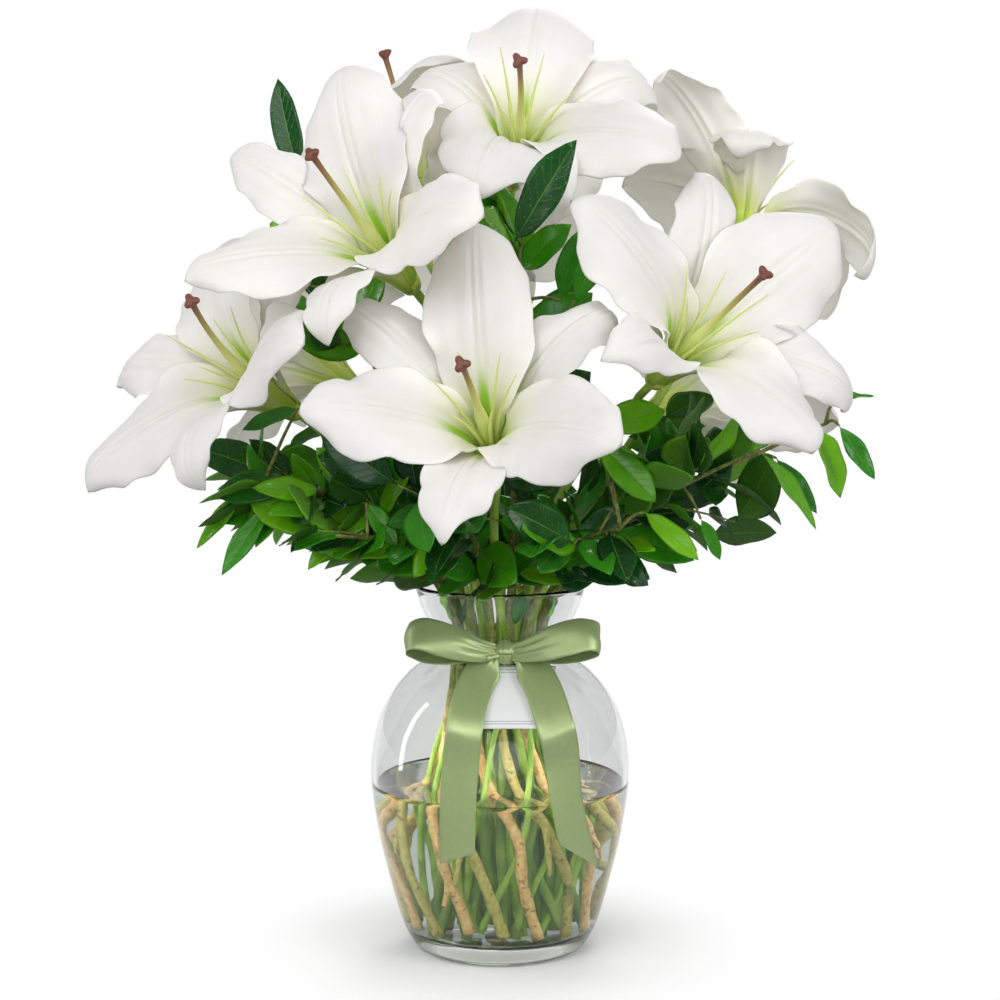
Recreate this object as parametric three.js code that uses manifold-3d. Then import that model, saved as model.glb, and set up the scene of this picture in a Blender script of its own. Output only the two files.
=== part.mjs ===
// White lilies with leafy greenery in a clear glass urn vase, tied with a satin ribbon and a card.
// Millimetres, +Z up. The origin is the centre of the vase's foot, on the table, and -Y is the front.
import * as THREE from "three";
import { mergeVertices } from "three/addons/utils/BufferGeometryUtils.js";
import Module from "manifold-3d";

const wasm = await Module();
wasm.setup();

// Driving dimensions of the vase, water, ribbon and card.
const vaseHeight = 224;
const rimRadius = 52.3;
const neckRadius = 36.1;
const neckHeight = 187;
const bellyRadius = 79.2;
const footRadius = 49;
const wall = 3;
const floorThickness = 11;
const waterLevel = 102;
const clearance = 0.35;
const ribbonWidth = 22;
const ribbonThickness = 0.8;
const cardWidth = 52;
const cardHeight = 43;
const cardThickness = 0.8;
const cardMiddle = 165.5;
const cardLean = 42;
const cardGap = 0.7;
const cardShift = 7;
const lilyRadius = 3.2;
const stalkRadius = 2.7;
const woodyRadius = 2.8;
const leafLength = 58;
const leafWidth = 47;
const roundSides = 24;

const vec = (x, y, z) => new THREE.Vector3(x, y, z);
const radians = THREE.MathUtils.degToRad;
const smooth = (x) => THREE.MathUtils.smoothstep(x, 0, 1);

// A repeatable row of numbers from 0 to 1.
function draws(seed) {
  let state = seed;
  return () => {
    state = (state * 1664525 + 1013904223) % 4294967296;
    return state / 4294967296;
  };
}

// Solids
// A closed geometry as a solid: shared vertices are merged and faces with no area are dropped.
function solidOf(geometry) {
  const plain = geometry.index ? geometry.toNonIndexed() : geometry.clone();
  plain.deleteAttribute("normal");
  plain.deleteAttribute("uv");
  const merged = mergeVertices(plain, 1e-3);
  const kept = [];
  const index = merged.index.array;
  for (let i = 0; i < index.length; i += 3) {
    const [a, b, c] = [index[i], index[i + 1], index[i + 2]];
    if (a !== b && b !== c && c !== a) kept.push(a, b, c);
  }
  const vertProperties = new Float32Array(merged.attributes.position.array);
  const triVerts = new Uint32Array(kept);
  const made = new wasm.Manifold(new wasm.Mesh({ numProp: 3, vertProperties, triVerts }));
  if (made.volume() >= 0) return made;
  for (let i = 0; i < kept.length; i += 3) {
    [triVerts[i + 1], triVerts[i + 2]] = [triVerts[i + 2], triVerts[i + 1]];
  }
  return new wasm.Manifold(new wasm.Mesh({ numProp: 3, vertProperties, triVerts }));
}

// Solids fused into one. A hollow that fusing seals, which is a part of negative volume, is filled.
function joined(solids) {
  const parts = wasm.Manifold.union(solids).decompose();
  return wasm.Manifold.union(parts.filter((part) => part.volume() > 0));
}

// Rows of points, each row the same length, skinned into one closed surface with a cap on each end.
function skin(rows) {
  const position = [];
  const face = (...points) => points.forEach((p) => position.push(p.x, p.y, p.z));
  const count = rows[0].length;
  for (let i = 0; i + 1 < rows.length; i++)
    for (let j = 0; j < count; j++) {
      const [a, b] = [rows[i][j], rows[i][(j + 1) % count]];
      const [c, d] = [rows[i + 1][j], rows[i + 1][(j + 1) % count]];
      face(a, b, d);
      face(a, d, c);
    }
  const [first, last] = [rows[0], rows[rows.length - 1]];
  for (let j = 1; j + 1 < count; j++) {
    face(first[0], first[j + 1], first[j]);
    face(last[0], last[j], last[j + 1]);
  }
  return new THREE.BufferGeometry().setAttribute("position", new THREE.Float32BufferAttribute(position, 3));
}

// A round rod along a list of points, with a radius at each point. Lobes swell every other side.
function rod(points, radii, sides, lobes = 0) {
  let side = null;
  const rows = points.map((point, i) => {
    const before = points[Math.max(i - 1, 0)];
    const after = points[Math.min(i + 1, points.length - 1)];
    const ahead = after.clone().sub(before).normalize();
    if (!side) side = Math.abs(ahead.x) < 0.9 ? vec(1, 0, 0) : vec(0, 1, 0);
    side = side.clone().addScaledVector(ahead, -side.dot(ahead)).normalize();
    const up = ahead.clone().cross(side);
    return Array.from({ length: sides }, (_, k) => {
      const angle = (2 * Math.PI * k) / sides;
      const radius = radii[i] * (1 + lobes * (k % 2 ? 1 : -1) * (radii[i] > 3 ? 1 : 0));
      return point
        .clone()
        .addScaledVector(side, radius * Math.cos(angle))
        .addScaledVector(up, radius * Math.sin(angle));
    });
  });
  return solidOf(skin(rows));
}

// A thin blade, such as a petal or a leaf. surface(s, q) gives a point and its normal, s from root to tip
// and q from edge to edge. Both faces are split into triangles alike. They meet in a sharp edge, and the
// blade runs to a point at both ends, with its root sunk in what it grows from.
function blade(surface, thickness, along, across) {
  const position = [];
  const grid = [1, -1].map((face) =>
    along.map((s) =>
      Array.from({ length: across + 1 }, (_, j) => {
        const q = (2 * j) / across - 1;
        const { point, normal } = surface(s, q);
        const half = s > 0 && s < 1 ? (thickness / 2) * (1 - q * q * q * q) : 0;
        return point.clone().addScaledVector(normal, face * half);
      }),
    ),
  );
  const face = (...points) => points.forEach((p) => position.push(p.x, p.y, p.z));
  for (let i = 0; i + 1 < along.length; i++)
    for (let j = 0; j < across; j++) {
      const [t, u] = grid;
      face(t[i][j], t[i + 1][j], t[i + 1][j + 1]);
      face(t[i][j], t[i + 1][j + 1], t[i][j + 1]);
      face(u[i][j], u[i + 1][j + 1], u[i + 1][j]);
      face(u[i][j], u[i][j + 1], u[i + 1][j + 1]);
    }
  const geometry = new THREE.BufferGeometry();
  return solidOf(geometry.setAttribute("position", new THREE.Float32BufferAttribute(position, 3)));
}

// Vase and water
// The outside of the vase, from the foot to the rim, as a smooth curve through its key sections.
const vaseCurve = new THREE.SplineCurve(
  [
    [footRadius, 0],
    [footRadius + 5, 4],
    [61, 18],
    [68.4, 44.4],
    [75.3, 74.7],
    [bellyRadius, 108],
    [76, 135],
    [67.8, 155],
    [56.1, 169.8],
    [42.5, 180],
    [neckRadius, neckHeight],
    [40.5, 196],
    [47.4, 209.4],
    [rimRadius, vaseHeight],
  ].map(([r, z]) => new THREE.Vector2(r, z)),
);
const outside = vaseCurve.getPoints(15);

// The outer radius at a height, read from the curve.
function outerRadius(z) {
  for (let i = 1; i < outside.length; i++)
    if (outside[i].y >= z) {
      const [a, b] = [outside[i - 1], outside[i]];
      return a.x + ((b.x - a.x) * (z - a.y)) / (b.y - a.y);
    }
  return rimRadius;
}

// A profile of radius and height turned about the Z axis.
function turned(profile) {
  return solidOf(new THREE.LatheGeometry(profile, roundSides).rotateX(Math.PI / 2));
}

// The inside has every other section of the outside, and one at the water's surface.
const insideLevels = outside.filter(
  (p, i) => i % 2 === 1 && p.y > floorThickness + 3 && p.y < vaseHeight - 1,
);
insideLevels.push(new THREE.Vector2(outerRadius(waterLevel), waterLevel));
insideLevels.sort((a, b) => a.y - b.y);

function vaseSolid() {
  const inside = insideLevels.map((p) => new THREE.Vector2(p.x - wall, p.y)).reverse();
  const lip = [
    new THREE.Vector2(rimRadius - wall / 2, vaseHeight + 1),
    new THREE.Vector2(rimRadius - wall, vaseHeight),
  ];
  const floor = [new THREE.Vector2(footRadius - 3, floorThickness), new THREE.Vector2(0, floorThickness)];
  return turned([new THREE.Vector2(0, 0), ...outside, ...lip, ...inside, ...floor]);
}

function waterSolid(stems) {
  const gap = wall + clearance;
  const side = insideLevels.filter((p) => p.y <= waterLevel).map((p) => new THREE.Vector2(p.x - gap, p.y));
  const low = floorThickness + clearance;
  const body = turned([
    new THREE.Vector2(0, low),
    new THREE.Vector2(footRadius - 3.6, low),
    ...side,
    new THREE.Vector2(0, waterLevel),
  ]);
  return body.subtract(joined(stems));
}

// Stems
// Where each stem passes the neck: rings of places, turned apart so that no two stems meet. Below the neck
// the stems spread to the belly, just over the water, and come in again to their feet.
const rings = [
  { radius: 0, count: 1, belly: 6, foot: 6, start: 0 },
  { radius: 12.5, count: 6, belly: 29, foot: 24, start: 20 },
  { radius: 25, count: 14, belly: 51, foot: 43, start: 14 },
];
const stemTwist = 66;
const bellyLevel = waterLevel + 4;

function neckPlace(ring, place) {
  const { radius, count, belly, foot, start } = rings[ring];
  const angle = radians(start + (360 * place) / count);
  const half = angle + radians(stemTwist / 2);
  const turn = angle + radians(stemTwist);
  const low = floorThickness + 2 + ((place * 7 + ring * 5) % 9);
  return {
    neck: vec(radius * Math.sin(angle), -radius * Math.cos(angle), neckHeight),
    middle: vec(belly * Math.sin(half), -belly * Math.cos(half), bellyLevel),
    foot: vec(foot * Math.sin(turn), -foot * Math.cos(turn), low),
  };
}

// Points of a stem: from its foot by the belly to the neck, then along a bow to its head.
function stemPoints(ring, place, via, head, steps) {
  const { neck, middle, foot } = neckPlace(ring, place);
  const bow = new THREE.QuadraticBezierCurve3(neck, vec(...via), head);
  return [foot, middle, ...bow.getPoints(steps)];
}

const holeFor = (points, radius, sides) => {
  const lowered = points[0].clone().addScaledVector(points[1].clone().sub(points[0]).normalize(), -0.5);
  return rod([lowered, points[1]], [radius + clearance, radius + clearance], sides);
};

// Lilies
const heartDepth = 22;
const styleLength = 118;
const ovaryRadius = 3.4;
const petalKinds = {
  inner: {
    length: 150,
    width: 66,
    open: 52,
    curl: 38,
    bend: 0.55,
    cup: 0.55,
    wave: 3,
    root: 4.4,
    tube: 8,
    flare: 26,
  },
  outer: {
    length: 146,
    width: 44,
    open: 56,
    curl: 60,
    bend: 0.5,
    cup: 0.35,
    wave: 2,
    root: 5.8,
    tube: 12,
    flare: 33,
  },
};
const petalSteps = [0, 0.2, 0.42, 0.65, 0.88, 1];
const petalAcross = 4;
const petalThickness = 1.1;

// The frame of a bloom: where its tube starts, the way it faces, and up and right across its face.
function bloomFrame({ heart, face, size = 1 }) {
  const [azimuth, elevation] = face.map(radians);
  const flat = Math.cos(elevation);
  const axis = vec(Math.sin(azimuth) * flat, -Math.cos(azimuth) * flat, Math.sin(elevation));
  const up = vec(0, 0, 1).addScaledVector(axis, -axis.z).normalize();
  const right = up.clone().cross(axis);
  const seat = vec(...heart).addScaledVector(axis, -heartDepth * size);
  return { axis, up, right, seat, size };
}

// The width of a petal along its length: a narrow claw, a broad middle and a blunt point.
function petalWidth(s, inner) {
  const widest = inner ? 0.58 : 0.52;
  const claw = 0.16;
  if (s < widest) return claw + (1 - claw) * Math.pow(smooth(s / widest), 1.3);
  const u = (s - widest) / (1 - widest);
  return Math.pow(Math.max(1 - u * u, 0), inner ? 0.62 : 0.75);
}

// The midrib of a petal as a table: place, direction of growth, outward normal and sideways direction.
const ribSteps = 32;
function petalRib(frame, petal) {
  const turn = radians(petal.turn);
  const { up, right } = frame;
  const radial = up.clone().multiplyScalar(Math.cos(turn)).addScaledVector(right, Math.sin(turn));
  const across = right.clone().multiplyScalar(Math.cos(turn)).addScaledVector(up, -Math.sin(turn));
  const length = petal.length * frame.size;
  const place = frame.seat.clone().addScaledVector(radial, petal.root * frame.size);
  place.add(frame.axis);
  const rib = [];
  for (let i = 0; i <= ribSteps; i++) {
    const s = i / ribSteps;
    const late = Math.max(0, (s - petal.bend) / (1 - petal.bend));
    const trumpet = petal.tube + (petal.flare - petal.tube) * smooth(s / 0.35);
    const opening = (petal.open - petal.flare) * smooth((s - 0.2) / 0.4);
    const lean = radians(trumpet + opening + petal.curl * Math.pow(late, 1.4));
    const sway = radians(petal.side * s * s);
    const forward = frame.axis.clone().multiplyScalar(Math.cos(lean)).addScaledVector(radial, Math.sin(lean));
    const back = frame.axis.clone().multiplyScalar(-Math.sin(lean)).addScaledVector(radial, Math.cos(lean));
    const ahead = forward.clone().multiplyScalar(Math.cos(sway)).addScaledVector(across, Math.sin(sway));
    const flank = forward.clone().multiplyScalar(-Math.sin(sway)).addScaledVector(across, Math.cos(sway));
    const roll = radians(petal.twist * smooth(s / 0.8));
    const beside = flank.clone().multiplyScalar(Math.cos(roll)).addScaledVector(back, Math.sin(roll));
    const normal = flank.clone().multiplyScalar(-Math.sin(roll)).addScaledVector(back, Math.cos(roll));
    rib.push({ place: place.clone(), beside, normal });
    place.addScaledVector(ahead, length / ribSteps);
  }
  return rib;
}

function petalSurface(frame, petal) {
  const rib = petalRib(frame, petal);
  const half = (petal.width / 2) * frame.size;
  return (s, q) => {
    const i = Math.min(Math.floor(s * ribSteps), ribSteps - 1);
    const part = s * ribSteps - i;
    const [a, b] = [rib[i], rib[i + 1]];
    const normal = a.normal.clone().lerp(b.normal, part).normalize();
    const beside = a.beside.clone().lerp(b.beside, part).normalize();
    const reach = s > 0 && s < 1 ? half * petalWidth(s, petal.inner) : 0;
    const hollow = petal.cup * (1 - 1.5 * smooth((s - 0.2) / 0.6));
    const ripple = Math.sin(2 * Math.PI * (1.7 * s + petal.phase) + (q < 0 ? 2.2 : 0));
    const wave = petal.wave * Math.pow(Math.abs(q), 2.5) * ripple * Math.sin(Math.PI * s);
    const lift = -hollow * reach * q * q + wave;
    const point = a.place.clone().lerp(b.place, part);
    point.addScaledVector(beside, reach * q * (1 - 0.12 * Math.abs(hollow) * q * q));
    point.addScaledVector(normal, lift);
    return { point, normal };
  };
}

// The six petals of a bloom: three broad inner ones and three narrow outer ones between them.
function petalsOf(bloom) {
  const random = draws(bloom.seed);
  return Array.from({ length: 6 }, (_, k) => {
    const inner = k % 2 === 0;
    const kind = petalKinds[inner ? "inner" : "outer"];
    const own = (bloom.petals && bloom.petals[k]) || {};
    const spread = random() - 0.5;
    const sway = 0.6 * (own.shift || 0) + 6 * (random() - 0.5);
    const petal = { ...kind, side: sway, twist: 12 * (random() - 0.5), phase: random(), ...own };
    petal.open = own.open ?? kind.open + 10 * spread;
    petal.turn = (bloom.roll || 0) + 60 * k + (own.shift || 0);
    petal.inner = inner;
    return petal;
  });
}

function bloomSolid(bloom) {
  const frame = bloomFrame(bloom);
  const { seat, axis, size } = frame;
  const petals = petalsOf(bloom).map((petal) =>
    blade(petalSurface(frame, petal), petalThickness, petalSteps, petalAcross),
  );
  const along = (distance) => seat.clone().addScaledVector(axis, distance * size);
  const cup = rod([along(-3), along(0), along(5)], [3.4, 6.6, 7].map((r) => r * size), 8);
  return joined([cup, ...petals]);
}

// The style with its three-lobed stigma, and six filaments that have lost their anthers.
function pistilSolid(bloom) {
  const { seat, axis, up, right, size } = bloomFrame(bloom);
  const random = draws(bloom.seed + 77);
  const lean = { up: 18, right: 0, length: styleLength, ...bloom.style };
  const start = seat.clone().addScaledVector(axis, 5 * size + clearance);
  const bow = (first, length, upward, sideways) => {
    const straight = first.clone().addScaledVector(axis, length * 0.5);
    const end = first
      .clone()
      .addScaledVector(axis, length)
      .addScaledVector(up, length * Math.tan(radians(upward)))
      .addScaledVector(right, length * Math.tan(radians(sideways)));
    return new THREE.QuadraticBezierCurve3(first, straight, end);
  };
  const curve = bow(start, lean.length * size, lean.up, lean.right);
  const sections = [
    [0, ovaryRadius],
    [0.028, ovaryRadius],
    [0.05, 1.9],
    [0.5, 1.6],
    [0.92, 1.8],
    [0.965, 4.3],
    [1, 3.4],
  ];
  const middles = sections.map(([t]) => curve.getPoint(t));
  const style = rod(middles, sections.map(([, radius]) => radius * size), 6, 0.1);
  const filaments = Array.from({ length: 6 }, (_, k) => {
    const turn = radians(60 * k + 30);
    const root = start.clone().addScaledVector(axis, 1);
    root.addScaledVector(up, 0.7 * ovaryRadius * Math.cos(turn));
    root.addScaledVector(right, 0.7 * ovaryRadius * Math.sin(turn));
    const spread = 13 + 9 * random();
    const line = bow(root, (66 + 14 * random()) * size, spread * Math.cos(turn) + 4, spread * Math.sin(turn));
    return rod([0, 0.45, 1].map((t) => line.getPoint(t)), [0, 0.8, 0.3], 3);
  });
  return joined([style, ...filaments]);
}

// The blooms: the heart is the point inside each, face its azimuth from the front and its elevation.
// Petal 0 points up at roll 0, and the petals follow clockwise.
const blooms = [
  {
    name: "front",
    heart: [-6, -130, 321],
    face: [-9, 34],
    roll: 0,
    style: { up: -5, right: 0 },
    petals: [
      { open: 54, curl: 41, shift: -3, width: 62 },
      { open: 68, curl: 122, shift: -13 },
      { open: 47, curl: 31 },
      { open: 44, curl: 49, shift: 3 },
      { open: 43, curl: 27, shift: 7 },
      { open: 67, curl: 82, shift: 7 },
    ],
  },
  {
    name: "upper_left",
    heart: [-60, -78, 418],
    face: [-32, 35],
    roll: -21,
    style: { up: 2, right: 0 },
    petals: [
      { open: 58, curl: 44, width: 72 },
      { open: 54, curl: 130, shift: -25 },
      { open: 56, curl: 39 },
      { open: 40, curl: 97, shift: 7, length: 136 },
      { open: 47, curl: 30, shift: 5 },
      { open: 53, curl: 57, shift: 10 },
    ],
  },
  {
    name: "right",
    heart: [98, -85, 363],
    face: [31, 32],
    roll: 62,
    style: { up: -1, right: 0 },
    petals: [
      { open: 52, curl: 35, width: 74 },
      { open: 60, curl: 109 },
      { open: 52, curl: 33, shift: -6 },
      { open: 44, curl: 69, shift: 8 },
      { open: 63, curl: 35, shift: 8 },
      { open: 60, curl: 70, shift: 11 },
    ],
  },
  {
    name: "lower_left",
    heart: [-133, -60, 343],
    face: [-46, 30],
    roll: -30,
    style: { up: 4, right: 17 },
    petals: [
      { open: 80, curl: 69, shift: -3 },
      { open: 50, curl: 90, length: 112 },
      { open: 56, curl: 38 },
      { open: 43, curl: 101 },
      { open: 62, curl: 35, shift: -5 },
      { open: 68, curl: 95, shift: -4 },
    ],
  },
  {
    name: "top",
    heart: [10, -15, 481],
    face: [8, 41],
    roll: 3,
    style: { up: -10, right: -6 },
    petals: [
      { open: 83, curl: 72, shift: 7, width: 76 },
      { open: 69, curl: 164, shift: 6 },
      { open: 56, curl: 39, shift: 4 },
      { open: 52, curl: 56, shift: -4 },
      { open: 49, curl: 82, shift: -31 },
      { open: 80, curl: 128, shift: 8, length: 122 },
    ],
  },
  {
    name: "top_left",
    heart: [-50, 84, 456],
    face: [-145, 76],
    roll: 32,
    style: { up: 1, right: 7 },
    petals: [
      { open: 53, curl: 60, shift: -10 },
      { open: 50, curl: 120, length: 120 },
      { open: 30, curl: 35, shift: 16, length: 138 },
      {},
      { open: 60, curl: 60, length: 125 },
      { open: 30, curl: 80, length: 96 },
    ],
  },
  {
    name: "top_right",
    heart: [150, 25, 444],
    face: [170, 33],
    roll: -22,
    style: { up: 9, right: 13 },
    petals: [
      { open: 112, curl: 140, shift: 16, length: 122, width: 48 },
      { open: 68, curl: 97, shift: -5 },
      { length: 130 },
      { open: 45, length: 120 },
      { open: 79, curl: 65, shift: -8 },
      { open: 99, curl: 130, shift: -24 },
    ],
  },
  {
    name: "back_right",
    heart: [108, 121, 325],
    face: [132, 16],
    roll: 12,
    size: 0.94,
    petals: { 5: { length: 132 } },
  },
  { name: "back_left", heart: [-105, 105, 345], face: [-130, 24], roll: -8, size: 0.96 },
  { name: "back", heart: [-2, 140, 418], face: [182, 34], roll: 6 },
].map((bloom, i) => ({ ...bloom, seed: 11 + i }));

// Each lily stem: its place in the neck, and its blooms. The first bloom ends the stem, and the others
// are on stalks that leave it at a fork, which is a share of the way from the neck to the first bloom.
const lilyStems = [
  { name: "a", at: [1, 0], blooms: [{ to: "front", via: [-8, -50, 258] }] },
  {
    name: "b",
    at: [1, 1],
    blooms: [
      { to: "right", via: [40, -30, 265] },
      { to: "top_right", fork: 0.45, via: [95, 0, 330] },
    ],
  },
  { name: "c", at: [1, 2], blooms: [{ to: "back_right", via: [28, 38, 290] }] },
  { name: "d", at: [1, 3], blooms: [{ to: "back_left", via: [-22, 28, 285] }] },
  { name: "e", at: [1, 4], blooms: [{ to: "lower_left", via: [-50, -20, 265] }] },
  { name: "f", at: [1, 5], blooms: [{ to: "upper_left", via: [-25, -30, 300] }] },
  {
    name: "g",
    at: [0, 0],
    blooms: [
      { to: "top", via: [4, 10, 330] },
      { to: "top_left", fork: 0.5, via: [-20, 50, 380] },
      { to: "back", fork: 0.35, via: [5, 85, 330] },
    ],
  },
];
const stalkEnd = 14;

// A bloom is carried at the foot of its tube, and its stalk arrives along the bloom's axis.
function stalkPoints(from, via, name, steps) {
  const { seat, axis, size } = bloomFrame(blooms.find((bloom) => bloom.name === name));
  const end = seat.clone().addScaledVector(axis, -3 * size - clearance);
  const before = end.clone().addScaledVector(axis, -stalkEnd);
  const bow = new THREE.QuadraticBezierCurve3(from, vec(...via), before);
  return [...bow.getPoints(steps), end];
}

function lilyStemPoints({ at, blooms: heads }) {
  const { neck, middle, foot } = neckPlace(...at);
  return [foot, middle, ...stalkPoints(neck, heads[0].via, heads[0].to, 5)];
}

function lilyStemSolid(stem) {
  const points = lilyStemPoints(stem);
  const rods = [rod(points, points.map((_, i) => lilyRadius * (1 - 0.03 * i)), 6)];
  const { neck } = neckPlace(...stem.at);
  for (const { to, fork, via } of stem.blooms.slice(1)) {
    const main = new THREE.CatmullRomCurve3([neck, ...points.slice(3, -1)]);
    const stalk = stalkPoints(main.getPoint(fork), via, to, 4);
    rods.push(rod(stalk, stalk.map((_, i) => (i ? stalkRadius : 1)), 5));
  }
  return joined(rods);
}

// Greenery
// Each leafy stem: its place in the outer ring of the neck, how far out and how high it reaches, and how
// many leaves it has. A tall one is led among the blooms by its own via and head, starts its leaves late,
// and its leaves face one way. Tip is the direction of the last leaf, and tipWidth its width, where they are set.
const twigs = [
  {
    place: 0,
    via: [10, -48, 320],
    head: [12, -46, 430],
    facing: [-0.3, -1, 0.4],
    leafFrom: 0.42,
    leaves: 11,
    tip: [0.62, -0.1, 0.78],
  },
  { place: 1, reach: 108, rise: 268, leaves: 13 },
  { place: 2, reach: 165, rise: 312, leaves: 13, tip: [0.65, -0.1, -0.72] },
  { place: 3, reach: 198, rise: 322, leaves: 13, tip: [0.5, -0.05, -0.86] },
  { place: 4, reach: 158, rise: 268, leaves: 12 },
  { place: 5, reach: 150, rise: 305, leaves: 11 },
  { place: 6, reach: 130, rise: 265, leaves: 11 },
  { place: 7, reach: 150, rise: 305, leaves: 11 },
  { place: 8, reach: 145, rise: 262, leaves: 11 },
  {
    place: 9,
    via: [-62, 12, 330],
    head: [-119, -2, 470],
    facing: [-0.3, -1, 0.2],
    leafFrom: 0.62,
    leaves: 7,
    tip: [-0.33, 0, 0.94],
    tipWidth: 29,
  },
  { place: 10, reach: 160, rise: 300, leaves: 12 },
  { place: 11, reach: 152, rise: 294, leaves: 13, tip: [-0.48, -0.1, -0.87] },
  { place: 12, reach: 150, rise: 268, leaves: 13 },
  { place: 13, reach: 118, rise: 278, leaves: 13 },
];
const twigSteps = 5;
const rimShare = 0.26;

// The lowest place for the tip of a leaf. It rises towards the front, so that the rim stays in sight, and
// outwards, so that the bunch is narrow below.
const frontRise = 0.2;
const outRise = 0.34;
const rimReach = 75;
function leafFloor(root) {
  const outward = outRise * (Math.hypot(root.x, root.y) - rimReach);
  return vaseHeight + Math.max(4, outward, -2 - frontRise * root.y);
}

function twigPoints({ place, reach, rise, via, head }) {
  if (head) return stemPoints(2, place, via, vec(...head), twigSteps);
  const { neck } = neckPlace(2, place);
  const outward = vec(neck.x, neck.y, 0).normalize();
  const end = outward.clone().multiplyScalar(reach).setZ(rise);
  const bow = outward.clone().multiplyScalar(28).setZ(252);
  return stemPoints(2, place, [bow.x, bow.y, bow.z], end, twigSteps);
}

// The outline of a leaf: a short stalk, then a pointed oval, widest nearer its base.
function leafOutline(s) {
  const t = Math.max(0, (s - 0.1) / 0.9);
  return 0.05 + 1.75 * Math.pow(t, 0.75) * Math.pow(1 - t, 0.8);
}

// A leaf from a root, along a direction, facing a normal, bending back by droop along its length.
function leafSurface({ root, ahead, normal, length, width, droop, fold }) {
  const beside = normal.clone().cross(ahead).normalize();
  return (s, q) => {
    const half = s > 0 && s < 1 ? (width / 2) * leafOutline(s) : 0;
    const point = root
      .clone()
      .addScaledVector(ahead, length * s)
      .addScaledVector(normal, -droop * length * s * s + fold * half * q * q)
      .addScaledVector(beside, half * q);
    return { point, normal };
  };
}
const leafSteps = [0, 0.3, 0.66, 1];
const leafThickness = 0.9;

// The places of the leaves on one twig. Each leaf has a few ways to lie, of which the first clear one is taken.
function leafChoices(curve, { leaves: count, leafFrom = rimShare, facing, tip, tipWidth }, random) {
  return Array.from({ length: count }, (_, i) => {
    const t = leafFrom + ((1 - leafFrom) * (i + 0.4 * random())) / (count - 0.6);
    const [sway, lift, tilt, scale, broad] = [random(), random(), random(), random(), random()];
    const root = curve.getPoint(Math.min(t, 1));
    const ahead = curve.getTangent(Math.min(t, 1));
    const outward = facing ? vec(...facing) : vec(root.x, root.y, 0).normalize().multiplyScalar(0.85).setZ(0.5);
    outward.applyAxisAngle(vec(0, 0, 1), (facing ? 1 : 1.8) * (tilt - 0.5));
    const side = ahead.clone().cross(outward).normalize();
    const top = side.clone().cross(ahead);
    const length = leafLength * (0.72 + 0.42 * scale);
    const last = i === count - 1;
    const ownWidth = leafWidth * (0.72 + 0.42 * scale) * (0.85 + 0.3 * broad);
    const width = last && tipWidth ? tipWidth : ownWidth;
    const droop = 0.12 + 0.25 * lift;
    return [0, 1, 2, 3].map((attempt) => {
      const hand = (i % 2 ? 1 : -1) * (attempt % 2 ? -1 : 1);
      const spread = last ? 0.15 : 0.8 + 0.9 * sway;
      const rise = (lift - 0.4) * 1.6 - (attempt > 1 ? 0.6 : 0);
      const direction = ahead.clone().addScaledVector(side, hand * spread).addScaledVector(top, rise).normalize();
      if (last && tip && attempt === 0) direction.set(...tip);
      direction.setZ(Math.max(direction.z, (leafFloor(root) - root.z) / length + droop)).normalize();
      const across = direction.clone().cross(outward).normalize();
      const normal = across.clone().cross(direction).normalize();
      return { root, ahead: direction, normal, length, width, droop, fold: 0.12 };
    });
  });
}

const placed = [];
const isClear = (solid, others) => others.every((other) => solid.minGap(other, clearance) >= clearance - 0.02);

function twigStem(twig) {
  const points = twigPoints(twig);
  return rod(points, points.map((_, i) => woodyRadius * (1 - 0.09 * i)), 5);
}

// A woody stem with its leaves, each clear of everything placed before it and of the other stems.
function twigSolid(twig, stem, others) {
  const curve = new THREE.CatmullRomCurve3(twigPoints(twig).slice(2));
  const random = draws(400 + twig.place);
  const leaves = [];
  for (const ways of leafChoices(curve, twig, random)) {
    const solids = ways.map((way) => blade(leafSurface(way), leafThickness, leafSteps, 2));
    const found = solids.find((solid) => isClear(solid, [...placed, ...others, ...leaves]));
    if (found) leaves.push(found);
  }
  return joined([stem, ...leaves]);
}

// Ribbon and card
// A strap of ribbon through a list of points: its middle, the way its face looks, and its width there.
function strap(stations) {
  const rows = stations.map(({ middle, facing, width }, i) => {
    const before = stations[Math.max(i - 1, 0)].middle;
    const after = stations[Math.min(i + 1, stations.length - 1)].middle;
    const ahead = after.clone().sub(before).normalize();
    const wide = ahead.clone().cross(facing).normalize();
    const face = wide.clone().cross(ahead);
    const corner = (a, b) =>
      middle
        .clone()
        .addScaledVector(wide, (a * width) / 2)
        .addScaledVector(face, (b * ribbonThickness) / 2);
    return [corner(-1, -1), corner(1, -1), corner(1, 1), corner(-1, 1)];
  });
  return solidOf(skin(rows));
}

const knot = vec(3, -46.5, 190);
const loopTilt = 50;

// Half of the bow: out from the knot, round the end and back behind, lower. Its faces lean back by the tilt,
// so that the inside of the loop shows below. Hand is -1 left and 1 right.
function bowLoop(hand) {
  const route = [
    [4, -50, 190.5, 9],
    [13, -54.5, 196, 15],
    [26, -59, 201, 20],
    [39, -61, 203, 22],
    [49, -60, 203, 22],
    [54.5, -56, 201, 22],
    [54.5, -51, 198, 22],
    [49, -47.5, 193, 22],
    [36, -46, 191, 21],
    [20, -46, 191.5, 15],
    [4, -45, 190, 9],
  ];
  const middles = route.map(([x, y, z]) => vec(knot.x * 0.6 + hand * x, y, z));
  return strap(
    middles.map((middle, i) => {
      const before = middles[Math.max(i - 1, 0)];
      const after = middles[Math.min(i + 1, middles.length - 1)];
      const facing = after.clone().sub(before).setZ(0).cross(vec(0, 0, 1));
      facing.applyAxisAngle(vec(1, 0, 0), -radians(loopTilt));
      return { middle, facing, width: route[i][3] };
    }),
  );
}

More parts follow.
